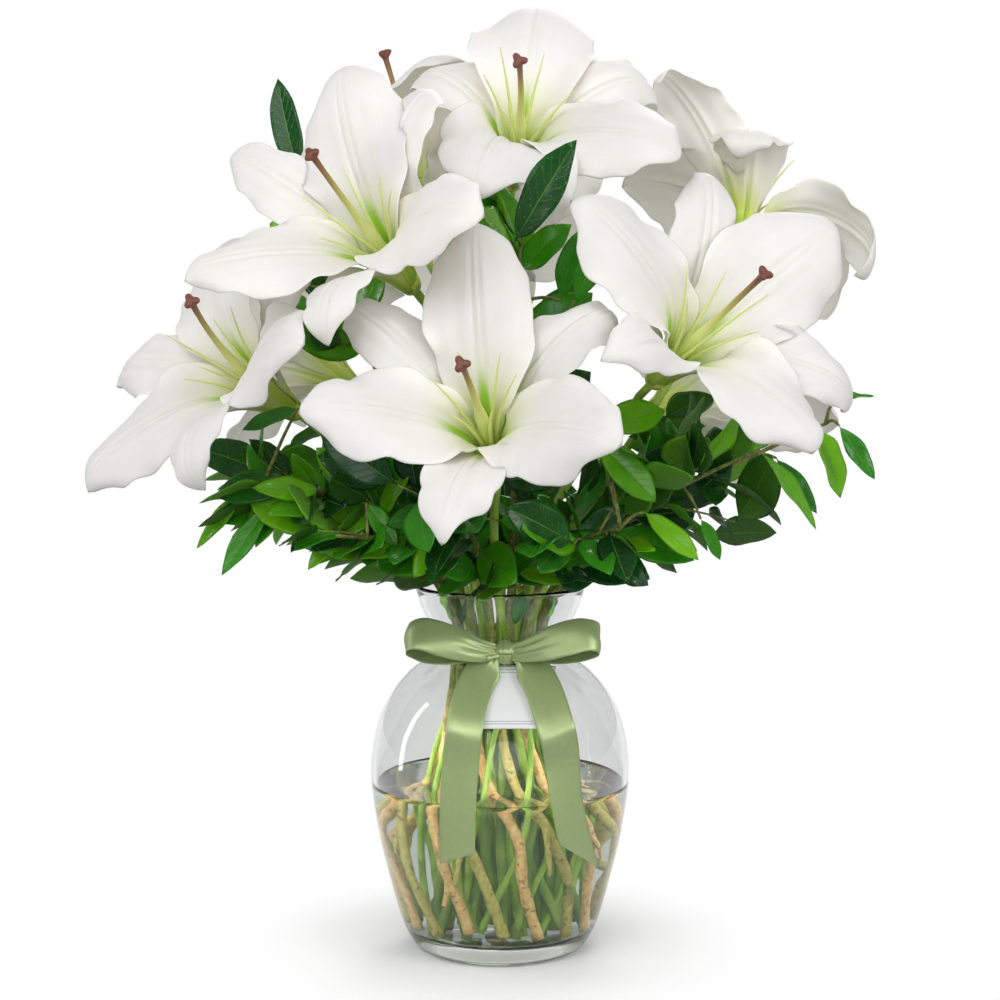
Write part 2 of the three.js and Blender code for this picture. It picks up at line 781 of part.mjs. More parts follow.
// The distance of the card's outer face from the axis, at a height.
const cardReach = (z) => {
  const touch = outerRadius(cardMiddle) + cardGap;
  return touch + cardThickness / Math.cos(radians(cardLean)) + (cardMiddle - z) * Math.tan(radians(cardLean));
};

// A tail of the bow: over the card, then down the belly of the vase. The route gives height and x.
function bowTail(route) {
  return strap(
    route.map(([z, x]) => {
      const belly = Math.sqrt((outerRadius(z) + 1.9) ** 2 - x * x);
      const blend = smooth((z - 138) / 14);
      const low = cardMiddle - (cardHeight / 2) * Math.cos(radians(cardLean));
      const overCard = Math.min(cardReach(Math.max(z, low)) + 2.8, 79.5);
      const high = smooth((z - 176) / 12);
      const y = Math.max(belly, blend > 0 ? overCard * blend + belly * (1 - blend) : 0) * (1 - high) + 50 * high;
      const turn = Math.asin(x / 80) * (1 - blend);
      const facing = vec(Math.sin(turn), -Math.cos(turn), blend * Math.tan(radians(cardLean)));
      return { middle: vec(x, -y, z), facing, width: z > 186 ? 10 : ribbonWidth };
    }),
  );
}

function ribbonSolid() {
  const lump = new THREE.SphereGeometry(1, 10, 6).scale(6.5, 8.5, 6.5).translate(knot.x, knot.y, knot.z);
  const levels = [183.5, 191.5];
  const inner = levels.map((z) => new THREE.Vector2(outerRadius(z) + clearance, z));
  const outer = levels.map((z) => new THREE.Vector2(outerRadius(z) + clearance + 1.4, z)).reverse();
  const band = turned([...inner, ...outer, inner[0]]);
  const left = bowTail([
    [190, -3],
    [183, -8],
    [174, -14],
    [163, -18.5],
    [149, -21],
    [139, -22],
    [122, -23.5],
    [98, -25],
    [72, -25],
  ]);
  const right = bowTail([
    [190, 9],
    [184, 16],
    [176, 23],
    [165, 28],
    [149, 33],
    [139, 35.5],
    [122, 37],
    [104, 39],
    [88, 42.5],
    [70, 47],
  ]);
  return joined([band, solidOf(lump), bowLoop(-1), bowLoop(1), left, right]);
}

function cardSolid() {
  const board = new THREE.BoxGeometry(cardWidth, cardThickness, cardHeight);
  board.translate(0, -cardThickness / 2, 0).rotateX(radians(-cardLean));
  board.translate(cardShift, -outerRadius(cardMiddle) - cardGap, cardMiddle);
  return solidOf(board);
}

// Assembly
const finish = (color, roughness, metalness = 0) => new THREE.MeshStandardMaterial({ color, roughness, metalness });
const materials = {
  glass: new THREE.MeshStandardMaterial({ color: 0xeef4f2, roughness: 0.05, transparent: true, opacity: 0.3 }),
  water: new THREE.MeshStandardMaterial({ color: 0xe6efe6, roughness: 0.02, transparent: true, opacity: 0.25 }),
  petal: finish(0xf7f5f0, 0.5),
  pistil: finish(0xa9b84a, 0.5),
  stem: finish(0x6b9a3c, 0.6),
  leaf: finish(0x2f6b22, 0.4),
  ribbon: finish(0x7d9a6b, 0.35),
  card: finish(0xf4f4f8, 0.7),
};

const bouquet = new THREE.Group();
function place(name, solid, material) {
  const { vertProperties, triVerts, numProp } = solid.getMesh();
  const position = [];
  for (let i = 0; i < vertProperties.length; i += numProp) position.push(...vertProperties.subarray(i, i + 3));
  const geometry = new THREE.BufferGeometry();
  geometry.setAttribute("position", new THREE.Float32BufferAttribute(position, 3));
  geometry.setIndex([...triVerts]);
  geometry.computeVertexNormals();
  const mesh = new THREE.Mesh(geometry, material);
  mesh.name = name;
  bouquet.add(mesh);
  placed.push(solid);
}

place("vase", vaseSolid(), materials.glass);
place("ribbon_bow", ribbonSolid(), materials.ribbon);
place("card", cardSolid(), materials.card);
const holes = [];
for (const stem of lilyStems) {
  holes.push(holeFor(lilyStemPoints(stem), lilyRadius, 6));
  place("lily_stem_" + stem.name, lilyStemSolid(stem), materials.stem);
}
for (const bloom of blooms) {
  place("lily_" + bloom.name, bloomSolid(bloom), materials.petal);
  place("pistil_" + bloom.name, pistilSolid(bloom), materials.pistil);
}
const twigStems = twigs.map(twigStem);
twigs.forEach((twig, i) => {
  holes.push(holeFor(twigPoints(twig), woodyRadius, 5));
  const others = twigStems.filter((_, k) => k !== i);
  place("greens_" + String(i + 1).padStart(2, "0"), twigSolid(twig, twigStems[i], others), materials.leaf);
});
place("water", waterSolid(holes), materials.water);

export default bouquet;
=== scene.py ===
# lilies in a vase: white lilies and glossy greenery in a clear glass urn vase, with a satin bow and a card
import math

import bpy
import numpy as np
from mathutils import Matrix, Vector
from mathutils.bvhtree import BVHTree
from mathutils.kdtree import KDTree


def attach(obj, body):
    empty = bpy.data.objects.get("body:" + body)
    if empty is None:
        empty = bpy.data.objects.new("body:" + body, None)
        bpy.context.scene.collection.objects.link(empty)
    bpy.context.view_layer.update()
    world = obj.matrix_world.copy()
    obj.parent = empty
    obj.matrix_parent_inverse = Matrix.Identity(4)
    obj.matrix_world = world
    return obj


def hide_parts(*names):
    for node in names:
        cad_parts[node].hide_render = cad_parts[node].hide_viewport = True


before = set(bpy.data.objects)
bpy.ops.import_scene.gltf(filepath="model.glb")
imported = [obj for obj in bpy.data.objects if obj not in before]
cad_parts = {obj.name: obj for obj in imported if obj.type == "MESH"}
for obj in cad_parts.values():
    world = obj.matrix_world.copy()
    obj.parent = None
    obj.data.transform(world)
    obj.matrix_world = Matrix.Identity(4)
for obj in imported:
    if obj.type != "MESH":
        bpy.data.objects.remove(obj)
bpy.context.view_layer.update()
mm = 0.001  # every size below is in millimetres, as on the CAD part
plainTone = (0.5, 0, 0)  # a shape's tone is its shade, the side of a blade, and a mark of its own


# a repeatable row of numbers from 0 to 1
def draws(seed):
    times, plus, wrap = 1664525, 1013904223, 2**32
    state = seed

    def draw():
        nonlocal state
        state = (state * times + plus) % wrap
        return state / wrap

    return draw


# a least size and what may come on top of it
def within(sizes, draw):
    return sizes[0] + sizes[1] * draw()


def smooth(x):
    x = np.clip(x, 0, 1)
    return x * x * (3 - 2 * x)


def vec(*values):
    return np.array(values, float)


def unit(v):
    return v / np.linalg.norm(v, axis=-1, keepdims=True)


# points of a quadratic bow from first to last, pulled towards via
def bow(first, via, last, steps):
    t = np.linspace(0, 1, steps + 1)[:, None]
    return (1 - t) ** 2 * first + 2 * t * (1 - t) * via + t * t * last


# a smooth line through a few points. Beyond its ends it runs on straight, or stays still.
def through(points, steps, still=False):
    points = np.asarray(points, float)
    onward = [points[0], points[-1]] if still else [2 * points[0] - points[1], 2 * points[-1] - points[-2]]
    ends = np.vstack([onward[0], points, onward[1]])
    line = []
    for i in range(len(points) - 1):
        p0, p1, p2, p3 = ends[i : i + 4]
        bend, swing = 2 * p0 - 5 * p1 + 4 * p2 - p3, 3 * p1 - p0 - 3 * p2 + p3
        for t in np.arange(steps) / steps:
            line.append(0.5 * (2 * p1 + (p2 - p0) * t + bend * t * t + swing * t**3))
    return np.vstack([line, points[-1]])


# how far along a line each of its points is
def reached(line):
    return np.concatenate([[0], np.cumsum(np.linalg.norm(np.diff(line, axis=0), axis=1))])


# several shapes gathered into one mesh, with a place on each shape (uv) and its tone kept for the shader
class Bundle:
    def __init__(self):
        self.shapes, self.count = [], 0

    def add(self, shape, paint=0):
        points, faces, uv, tone = shape
        self.shapes.append((points, faces + self.count, uv, tone, np.full(len(faces), paint)))
        self.count += len(points)

    def piece(self, name, paints, nodes):
        points, faces, uv, tone, paintOf = [np.concatenate(parts) for parts in zip(*self.shapes)]
        faces = [f[:3] if f[2] == f[3] else f for f in faces.tolist()]
        mesh = bpy.data.meshes.new(name)
        mesh.from_pydata(points * mm, [], faces)
        index = np.zeros(len(mesh.loops), np.int32)
        mesh.loops.foreach_get("vertex_index", index)
        layer = mesh.uv_layers.new(name="place")
        layer.data.foreach_set("uv", uv[index].astype(np.float32).ravel())
        layer = mesh.attributes.new("tone", "FLOAT_COLOR", "POINT")
        layer.data.foreach_set("color", np.insert(tone, 3, 1.0, axis=1).astype(np.float32).ravel())
        mesh.polygons.foreach_set("material_index", paintOf.astype(np.int32))
        mesh.polygons.foreach_set("use_smooth", np.ones(len(faces), bool))
        for paint in paints:
            mesh.materials.append(paint)
        mesh.validate()
        made = bpy.data.objects.new(name, mesh)
        bpy.context.scene.collection.objects.link(made)
        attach(made, "root")
        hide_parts(*nodes)
        return made


# faces between the rows of a grid of point numbers
def gridFaces(ids, turned=False):
    quads = np.stack([ids[:-1, :-1], ids[1:, :-1], ids[1:, 1:], ids[:-1, 1:]], -1).reshape(-1, 4)
    return quads[:, ::-1] if turned else quads


# the places of a grid for the shader, from 0 to 1 across
def places(across, along):
    return np.stack(np.broadcast_arrays(across / 2 + 0.5, along), -1).reshape(-1, 2)


# a closed shape: a face with a doubled corner becomes a triangle, faces turn outwards, unused points go
def closed(points, faces, uv, tone=plainTone):
    faces = np.array(faces)
    for k in range(4):
        doubled = faces[:, k] == faces[:, (k + 1) % 4]
        faces[doubled] = np.roll(faces[doubled], 3 - k, axis=1)[:, [0, 1, 2, 2]]
    a, b, c, d = faces.T
    faces = faces[(a != b) & (b != c) & (a != c) & (a != d)]
    p = points[faces]
    volume = np.sum(p[:, 0] * (np.cross(p[:, 1], p[:, 2]) + np.cross(p[:, 2], p[:, 3])))
    if volume < 0:
        threes = faces[:, 2] == faces[:, 3]
        faces = np.where(threes[:, None], faces[:, [2, 1, 0, 0]], faces[:, ::-1])
    used, place = np.unique(faces, return_inverse=True)
    tone = np.broadcast_to(np.asarray(tone, float), (len(points), 3))
    return points[used], place.reshape(faces.shape), uv[used], tone[used]


# a thin closed blade from a grid of points, n along and m across. It ends in a point at both ends. Its side
# is 1 on the face that the normals point to and 0 on the other.
def shell(points, normals, half, across, along, tone):
    n, m = half.shape
    facing = np.cross(np.gradient(points, axis=1), np.gradient(points, axis=0))
    facing[0], facing[-1] = facing[1], facing[-2]
    facing = facing / np.maximum(np.linalg.norm(facing, axis=-1, keepdims=True), 1e-9)
    facing = facing * np.where(np.sum(facing * normals, -1, keepdims=True) < 0, -1, 1)
    offset = facing * half[..., None]
    upper = np.arange(n * m).reshape(n, m)
    upper[0, :] = upper[0, 0]
    upper[-1, :] = upper[-1, 0]
    lower = upper + n * m
    lower[0, :], lower[-1, :] = upper[0, :], upper[-1, :]
    lower[:, 0], lower[:, -1] = upper[:, 0], upper[:, -1]
    faces = np.vstack([gridFaces(upper), gridFaces(lower, True)])
    grid = np.vstack([(points + offset).reshape(-1, 3), (points - offset).reshape(-1, 3)])
    place = places(across, along)
    side = np.repeat([1.0, 0.0], n * m)
    tones = np.column_stack([np.full(2 * n * m, tone[0]), side, np.full(2 * n * m, tone[1])])
    return closed(grid, faces, np.vstack([place, place]), tones)


# places across a blade from -1 to 1, close together at the midrib and at the edges
def acrossBlade(half):
    half = np.array(half)
    return np.concatenate([-half[::-1], [0], half])[None, :]


# a round rod along a line of points, with a radius at each, and lobes that swell every third of a turn
def rod(points, radii, sides, lobes=0.0, tone=plainTone):
    points = np.asarray(points, float)
    n = len(points)
    ahead = unit(np.gradient(points, axis=0))
    side = vec(1, 0, 0) if abs(ahead[0][0]) < 0.9 else vec(0, 1, 0)
    angle = 2 * np.pi * np.arange(sides)[:, None] / sides
    lobes = np.broadcast_to(np.asarray(lobes, float), n)
    rings = []
    for i in range(n):
        side = unit(side - side @ ahead[i] * ahead[i])
        up = np.cross(ahead[i], side)
        ring = radii[i] * (1 + lobes[i] * np.cos(3 * angle))
        rings.append(points[i] + ring * np.cos(angle) * side + ring * np.sin(angle) * up)
    grid = np.vstack(rings + [points[:1], points[-1:]])
    ids = np.arange(n * sides).reshape(n, sides)
    ids = np.vstack([np.full(sides, n * sides), ids, np.full(sides, n * sides + 1)])
    faces = gridFaces(np.hstack([ids, ids[:, :1]]))
    length = reached(points)
    share = np.repeat(length / length[-1], sides)
    uv = np.vstack([np.column_stack([np.tile(np.arange(sides) / sides, n), share]), [[0.5, 0], [0.5, 1]]])
    return closed(grid, faces, uv, tone)


# a profile of radius and height turned about the vase's axis
def turned(profile, sides):
    profile = np.asarray(profile, float)
    n = len(profile)
    angle = 2 * np.pi * np.arange(sides) / sides
    rings = [np.column_stack([r * np.cos(angle), r * np.sin(angle), np.full(sides, z)]) for r, z in profile]
    ids = np.arange(n * sides).reshape(n, sides)
    ids[profile[:, 0] == 0] = ids[profile[:, 0] == 0][:, :1]
    if np.allclose(profile[0], profile[-1]):  # a profile that closes on itself, such as a band's
        ids[-1] = ids[0]
    uv = np.column_stack([np.tile(np.arange(sides) / sides, n), np.repeat(profile[:, 1], sides)])
    return closed(np.vstack(rings), gridFaces(np.hstack([ids, ids[:, :1]])), uv)


# two faces of a sheet, n along and m across, joined round their border
def board(upperFace, lowerFace, uv):
    n, m = upperFace.shape[:2]
    upper = np.arange(n * m).reshape(n, m)
    lower = upper + n * m
    border = [(i, 0) for i in range(n)] + [(n - 1, j) for j in range(1, m)]
    border += [(i, m - 1) for i in range(n - 2, -1, -1)] + [(0, j) for j in range(m - 2, 0, -1)]
    rim = [[upper[b], upper[a], lower[a], lower[b]] for a, b in zip(border, border[1:] + border[:1])]
    faces = np.vstack([gridFaces(upper), gridFaces(lower, True), rim])
    grid = np.vstack([upperFace.reshape(-1, 3), lowerFace.reshape(-1, 3)])
    return closed(grid, faces, np.vstack([uv, uv]))


# what an operator does with a wire: it adds a Math node, with the wire as its second value when reflected
def maths(operation, reflected=False):
    def act(self, other=0.0):
        first, second = (other, self) if reflected else (self, other)
        return self.paint.node("ShaderNodeMath", {"operation": operation}, {0: first, 1: second})

    return act


# an output of a node that can be used in an expression
class Wire:
    __add__, __radd__ = maths("ADD"), maths("ADD", reflected=True)
    __sub__, __rsub__ = maths("SUBTRACT"), maths("SUBTRACT", reflected=True)
    __mul__, __rmul__ = maths("MULTIPLY"), maths("MULTIPLY", reflected=True)
    __pow__, __abs__, sine = maths("POWER"), maths("ABSOLUTE"), maths("SINE")

    def __init__(self, paint, socket):
        self.paint, self.socket = paint, socket


# the shader nodes of one material, or of the world
class Paint:
    def __init__(self, name, kind=bpy.data.materials):
        self.made = kind.new(name)
        self.made.use_nodes = True
        self.tree = self.made.node_tree
        self.tree.nodes.clear()

    # any node: its settings are set first, then its sockets get values or links
    def node(self, kind, settings=None, sockets=None, output=0):
        made = self.tree.nodes.new(kind)
        for key, value in (settings or {}).items():
            if key == "stops":
                ramp = made.color_ramp.elements
                while len(ramp) < len(value):
                    ramp.new(0.5)
                for stop, (place, colour) in zip(ramp, value):
                    stop.position, stop.color = place, (*colour, 1)
            else:
                setattr(made, key, value)
        for key, value in (sockets or {}).items():
            socket = made.inputs[key]
            if isinstance(value, Wire):
                self.tree.links.new(value.socket, socket)
            elif socket.type == "RGBA":
                socket.default_value = (*value[:3], 1)
            else:
                socket.default_value = value
        return Wire(self, made.outputs[output]) if made.outputs else None

    def between(self, value, low, high):  # 0 below low, 1 above high, smooth between
        settings = {"interpolation_type": "SMOOTHSTEP"}
        return self.node("ShaderNodeMapRange", settings, {0: value, 1: low, 2: high, 3: 0.0, 4: 1.0})

    def mix(self, share, first, second):
        return self.node("ShaderNodeMix", {"data_type": "RGBA"}, {0: share, 6: first, 7: second}, 2)

    def part(self, vector, axis):
        return self.node("ShaderNodeSeparateXYZ", {}, {0: vector}, axis)

    def place(self):  # across from -1 to 1, and along from 0 to 1
        uv = self.node("ShaderNodeUVMap", {"uv_map": "place"})
        return self.part(uv, 0) * 2.0 - 1.0, self.part(uv, 1)

    def height(self):  # in metres, from the foot of the vase
        return self.part(self.object(), 2)

    def tone(self):
        wire = self.node("ShaderNodeAttribute", {"attribute_name": "tone"})
        return [self.node("ShaderNodeSeparateColor", {}, {0: wire}, i) for i in range(3)]

    def spread(self, x, y, z):
        return self.node("ShaderNodeCombineXYZ", {}, {0: x, 1: y, 2: z})

    def object(self):
        return self.node("ShaderNodeTexCoord", {}, {}, "Object")

    def ray(self, about):
        return self.node("ShaderNodeLightPath", {}, {}, about)

    def noise(self, at, scale, detail=3.0, rough=0.5):
        sockets = {"Vector": at, "Scale": scale, "Detail": detail, "Roughness": rough}
        return self.node("ShaderNodeTexNoise", {}, sockets)

    def bump(self, height, strength, distance):
        return self.node("ShaderNodeBump", {}, {"Height": height, "Strength": strength, "Distance": distance})

    def surface(self, **sockets):
        named = {key.replace("_", " "): value for key, value in sockets.items()}
        self.node("ShaderNodeOutputMaterial", {}, {0: self.node("ShaderNodeBsdfPrincipled", {}, named)})
        return self.made


# petals: warm white, with a cream midrib, a green throat and tiny freckles low down
def petalPaint():
    look = {
        "white": (0.935, 0.895, 0.85),
        "shade": (0.865, 0.80, 0.73),
        "cream": (0.82, 0.80, 0.66),
        "pale": (0.82, 0.87, 0.48),
        "lime": (0.64, 0.80, 0.10),
        "green": (0.26, 0.54, 0.010),
        "under": (0.93, 0.87, 0.79),
        "freckle": (0.40, 0.24, 0.13),
    }
    paint = Paint("lilyPetal")
    across, along = paint.place()
    tone, under, _ = paint.tone()
    edge = abs(across)
    at = paint.spread(across * 33.0, along * 150.0, tone * 400.0)
    fibres = paint.noise(paint.spread(across * 26.0, along * 2.5, tone * 90.0), 1.0, 4.0, 0.6)
    clouds = paint.noise(at, 0.035, 2.0)
    colour = paint.mix(paint.between(clouds, 0.35, 0.75) * 0.45, look["white"], look["shade"])
    colour = paint.mix(paint.between(fibres, 0.45, 0.75) * 0.25, colour, look["shade"])
    colour = paint.mix(under * 0.6, colour, look["under"])
    ridge = paint.between(edge, 0.10, 0.03) * paint.between(along, 0.97, 0.6)
    colour = paint.mix(ridge * 0.3, colour, look["cream"])
    colour = paint.mix(paint.between(along + edge * 0.10, 0.56, 0.20) * 0.9, colour, look["pale"])
    colour = paint.mix(paint.between(along + edge * 0.10, 0.40, 0.17) * 0.9, colour, look["lime"])
    wedge = paint.between(edge + along * 0.6, 0.40, 0.25) * paint.between(along, 0.46, 0.30)
    colour = paint.mix(wedge * (0.95 - under * 0.75), colour, look["green"])
    colour = paint.mix(under * paint.between(along, 0.16, 0.03) * 0.5, colour, look["green"])
    speckled = {"Vector": at, "Scale": 0.42, "Randomness": 1.0}
    cells = paint.node("ShaderNodeTexVoronoi", {}, speckled)
    chance = paint.node("ShaderNodeTexVoronoi", {}, speckled, "Color")
    chance = paint.node("ShaderNodeSeparateColor", {}, {0: chance}, 0)
    low = paint.between(along, 0.12, 0.19) * paint.between(along + edge * 0.12, 0.46, 0.28)
    dots = paint.between(cells, 0.20, 0.10) * paint.between(chance, 0.62, 0.64) * low * (1 - under)
    colour = paint.mix(dots * 0.7, colour, look["freckle"])
    height = fibres * 0.35 + dots * 0.6
    return paint.surface(
        Base_Color=colour,
        Roughness=0.42 + fibres * 0.16,
        Subsurface_Weight=0.5,
        Subsurface_Radius=(0.006, 0.0055, 0.0048),
        Subsurface_Scale=1.0,
        Specular_IOR_Level=0.35,
        Sheen_Weight=0.1,
        Sheen_Roughness=0.4,
        Normal=paint.bump(height, 0.5, 0.0006),
    )


# the style from yellow-green to olive, its reddish stigma, and the pale filaments
def pistilPaint():
    look = {
        "style": [  # from the ovary to the stigma
            (0.0, (0.50, 0.66, 0.10)), (0.42, (0.78, 0.84, 0.34)), (0.66, (0.58, 0.60, 0.16)),
            (0.88, (0.34, 0.21, 0.05)), (1.0, (0.19, 0.055, 0.035)),
        ],
        "filament": (0.76, 0.84, 0.32),
        "grain": (0.10, 0.06, 0.02),
    }
    paint = Paint("lilyPistil")
    _, along = paint.place()
    _, _, filament = paint.tone()
    ramp = paint.node("ShaderNodeValToRGB", {"stops": look["style"]}, {0: along})
    colour = paint.mix(filament, ramp, look["filament"])
    grain = paint.noise(paint.object(), 900.0, 3.0)
    return paint.surface(
        Base_Color=paint.mix(grain * 0.25, colour, look["grain"]),
        Roughness=0.35 + grain * 0.2,
        Subsurface_Weight=0.08,
        Subsurface_Radius=(0.002, 0.002, 0.001),
        Normal=paint.bump(grain, 0.3, 0.0004),
    )


# glossy leaves with a faint midrib and pale specks, from dark to yellow-green
def leafPaint():
    look = {
        "dark": (0.006, 0.050, 0.011),
        "mid": (0.034, 0.27, 0.008),
        "bright": (0.17, 0.50, 0.006),
        "vein": (0.16, 0.36, 0.05),
        "speck": (0.25, 0.42, 0.10),
        "under": (0.12, 0.28, 0.03),
    }
    paint = Paint("leaf")
    across, along = paint.place()
    tone, upper, _ = paint.tone()
    under = 1 - upper
    edge = abs(across)
    mottle = paint.noise(paint.object(), 90.0, 3.0)
    colour = paint.mix(paint.between(tone + mottle * 0.2, 0.32, 0.66), look["dark"], look["mid"])
    colour = paint.mix(paint.between(tone + mottle * 0.2, 0.74, 1.08), colour, look["bright"])
    colour = paint.mix(under * paint.between(tone, -0.4, 0.9) * 0.8, colour, look["under"])
    ribs = ((along - edge * 0.2) * 62.0).sine()
    veins = paint.between(ribs, 0.8, 1.0) * paint.between(edge, 1.0, 0.5)
    midrib = paint.between(edge, 0.05, 0.012)
    specks = paint.between(paint.noise(paint.object(), 800.0, 1.0), 0.70, 0.74)
    colour = paint.mix(veins * 0.08, colour, look["vein"])
    colour = paint.mix(midrib * 0.55, colour, look["vein"])
    colour = paint.mix(specks * 0.45, colour, look["speck"])
    return paint.surface(
        Base_Color=colour,
        Roughness=0.13 + mottle * 0.12 + under * 0.25,
        Specular_IOR_Level=0.34,
        Subsurface_Weight=0.15,
        Subsurface_Radius=(0.002, 0.004, 0.001),
        Subsurface_Scale=1.0,
        Normal=paint.bump(midrib * -1.0 + veins * -0.35 + mottle * 0.5, 0.45, 0.0006),
    )


# stems of two greens in streaks, with fine flecks. Those in the middle of the bunch get painted shade, a dark
# green that stands for the shadow there.
def greenStemPaint():
    look = {
        "deep": (0.26, 0.48, 0.04),
        "light": (0.54, 0.74, 0.13),
        "paintedShade": (0.07, 0.15, 0.035),
        "fleck": (0.10, 0.18, 0.03),
    }
    paint = Paint("greenStem")
    streaks = paint.noise(paint.object(), 60.0, 4.0)
    fine = paint.noise(paint.object(), 700.0, 2.0)
    colour = paint.mix(paint.between(streaks, 0.3, 0.7), look["deep"], look["light"])
    # painted shade: the third tone darkens a stem towards a shadow green
    _, _, paintedShade = paint.tone()
    colour = paint.mix(paintedShade * 0.85, colour, look["paintedShade"])
    return paint.surface(
        Base_Color=paint.mix(paint.between(fine, 0.55, 0.75) * 0.3, colour, look["fleck"]),
        Roughness=0.38 + fine * 0.2,
        Subsurface_Weight=0.05,
        Subsurface_Radius=(0.002, 0.003, 0.001),
        Normal=paint.bump(fine + streaks * 0.5, 0.3, 0.0005),
    )


# woody stems: tan or olive where the bark was stripped for the water, green-brown above
def woodyPaint():
    look = {
        "bark": [(0.13, 0.15, 0.03), (0.30, 0.34, 0.08)],
        "tan": [(0.80, 0.44, 0.13), (1.0, 0.70, 0.32)],
        "olive": [(0.50, 0.45, 0.08), (0.72, 0.62, 0.18)],
        "speck": (0.24, 0.11, 0.04),
    }
    paint = Paint("woodyStem")
    peeled, _, _ = paint.tone()
    patches = paint.noise(paint.object(), 45.0, 4.0, 0.6)
    grain = paint.noise(paint.object(), 320.0, 4.0)
    bark = paint.mix(paint.between(grain, 0.35, 0.7), *look["bark"])
    tan = paint.mix(paint.between(grain, 0.3, 0.7), *look["tan"])
    olive = paint.mix(paint.between(grain, 0.3, 0.7), *look["olive"])
    bare = paint.mix(peeled, olive, tan)
    stripped = paint.between(patches, 0.72, 0.58) * paint.between(paint.height(), 0.165, 0.12)
    specks = paint.between(paint.noise(paint.object(), 260.0, 1.0), 0.64, 0.70)
    colour = paint.mix(specks * stripped * 0.7, paint.mix(stripped, bark, bare), look["speck"])
    return paint.surface(
        Base_Color=colour,
        Roughness=0.55 + grain * 0.25,
        Normal=paint.bump(grain + stripped * 0.8, 0.6, 0.0008),
    )


# sage satin: fine threads each way, and a selvedge along its edges
def ribbonPaint():
    look = {"sage": (0.48, 0.61, 0.28), "deep": (0.33, 0.43, 0.16)}
    paint = Paint("satinRibbon")
    across, along = paint.place()
    threads = (along * 2600.0).sine()
    rib = (across * 190.0).sine()
    cloth = paint.noise(paint.spread(across * 3.0, along * 90.0, 0.0), 1.0, 3.0)
    selvedge = paint.between(abs(across), 0.93, 0.97)
    colour = paint.mix(paint.between(cloth, 0.3, 0.7) * 0.14, look["sage"], look["deep"])
    return paint.surface(
        Base_Color=paint.mix(selvedge * 0.3, colour, look["deep"]),
        Roughness=0.27 + cloth * 0.1,
        Metallic=0.4,
        Specular_IOR_Level=0.6,
        Anisotropic=0.5,
        Sheen_Weight=0.3,
        Sheen_Roughness=0.35,
        Normal=paint.bump(threads * 0.3 + rib * 0.2 + selvedge, 0.2, 0.0002),
    )


# white card with a plain double hairline along its top and bottom
def cardPaint():
    look = {"white": (0.97, 0.97, 0.99), "fibre": (0.86, 0.86, 0.88), "hairline": (0.16, 0.17, 0.22)}
    paint = Paint("card")
    across, along = paint.place()
    fibre = paint.noise(paint.object(), 1500.0, 3.0)
    edge = abs(along - 0.5) * 2.0
    lines = paint.between(abs(edge - 0.86), 0.014, 0.008) + paint.between(abs(edge - 0.78), 0.012, 0.006)
    inside = paint.between(abs(across), 0.94, 0.93)
    colour = paint.mix(fibre * 0.1, look["white"], look["fibre"])
    return paint.surface(
        Base_Color=paint.mix(lines * inside * 0.8, colour, look["hairline"]),
        Roughness=0.6 + fibre * 0.15,
        Normal=paint.bump(fibre, 0.15, 0.0002),
    )


# glass and water: clear above a height, and darker below it, where more of it is seen through. In the glass's
# thick base the darkening is partly its tint and partly painted shade.
def clearPaint(name, look):
    paint = Paint(name)
    ripple = paint.noise(paint.object(), look["ripples"], 1.0)
    low = paint.between(paint.height(), *look["heights"])
    return paint.surface(
        Base_Color=paint.mix(low, look["clear"], look["low"]),
        Specular_Tint=look["mirror"],
        Roughness=0.0,
        IOR=look["bends"],
        Transmission_Weight=1.0,
        Normal=paint.bump(ripple, *look["bump"]),
    )


# the glass's dark low colour is partly the tint of its thick base and partly painted shade
glassLook = {
    "clear": (0.82, 0.83, 0.828), "low": (0.42, 0.45, 0.41), "heights": (0.015, 0.008),  # the thick base
    "mirror": (0.6, 0.6, 0.6), "bends": 1.48, "ripples": 14.0, "bump": (0.08, 0.002),
}
waterLook = {
    "clear": (0.94, 0.95, 0.90), "low": (0.60, 0.655, 0.61), "heights": (0.101, 0.096),  # under the surface
    "mirror": (0.4, 0.4, 0.4), "bends": 1.333, "ripples": 40.0, "bump": (0.03, 0.001),
}
paints = {
    "petal": petalPaint(),
    "pistil": pistilPaint(),
    "leaf": leafPaint(),
    "stem": greenStemPaint(),
    "woody": woodyPaint(),
    "ribbon": ribbonPaint(),
    "card": cardPaint(),
    "glass": clearPaint("clearGlass", glassLook),
    "water": clearPaint("water", waterLook),
}
print("materials ready")

# the vase in radius and height, from the foot to the rim
vase = {
    "height": 224, "wall": 3, "floor": 11, "rim": 52.3, "sides": 128,
    "sections": [
        (49, 0), (54, 4), (61, 18), (68.4, 44.4), (75.3, 74.7), (79.2, 108), (76, 135),
        (67.8, 155), (56.1, 169.8), (42.5, 180), (36.1, 187), (40.5, 196), (47.4, 209.4), (52.3, 224),
    ],
    "hollow": [(0, 2.4), (15, 2.2), (30, 1.5), (40, 0.6), (44, 0.05), (48, 0.0)],  # under the foot
    "lip": [(0.2, -0.6), (-0.3, 0.5), (-1.3, 0.9), (-2.4, 0.5), (-3, -0.8)],  # counted from the rim
    "corner": [(-1.2, -3.4), (-4, -6.6), (-9, -8.8), (-16, -9.8)],  # from the wall to the floor inside
    "cornerTop": 10, "lipDepth": 2.5,  # where the straight inside ends: over the floor, and under the rim
}
water = {"level": 102, "overlap": 0.15, "edge": [(0, 1.4), (-0.7, 0.6), (-2, 0.15), (-4, 0)]}
outline = through(vase["sections"], 8, still=True)


def outerRadius(z):
    return np.interp(z, outline[:, 1], outline[:, 0])


def insideRadius(z):
    return outerRadius(z) - vase["wall"]


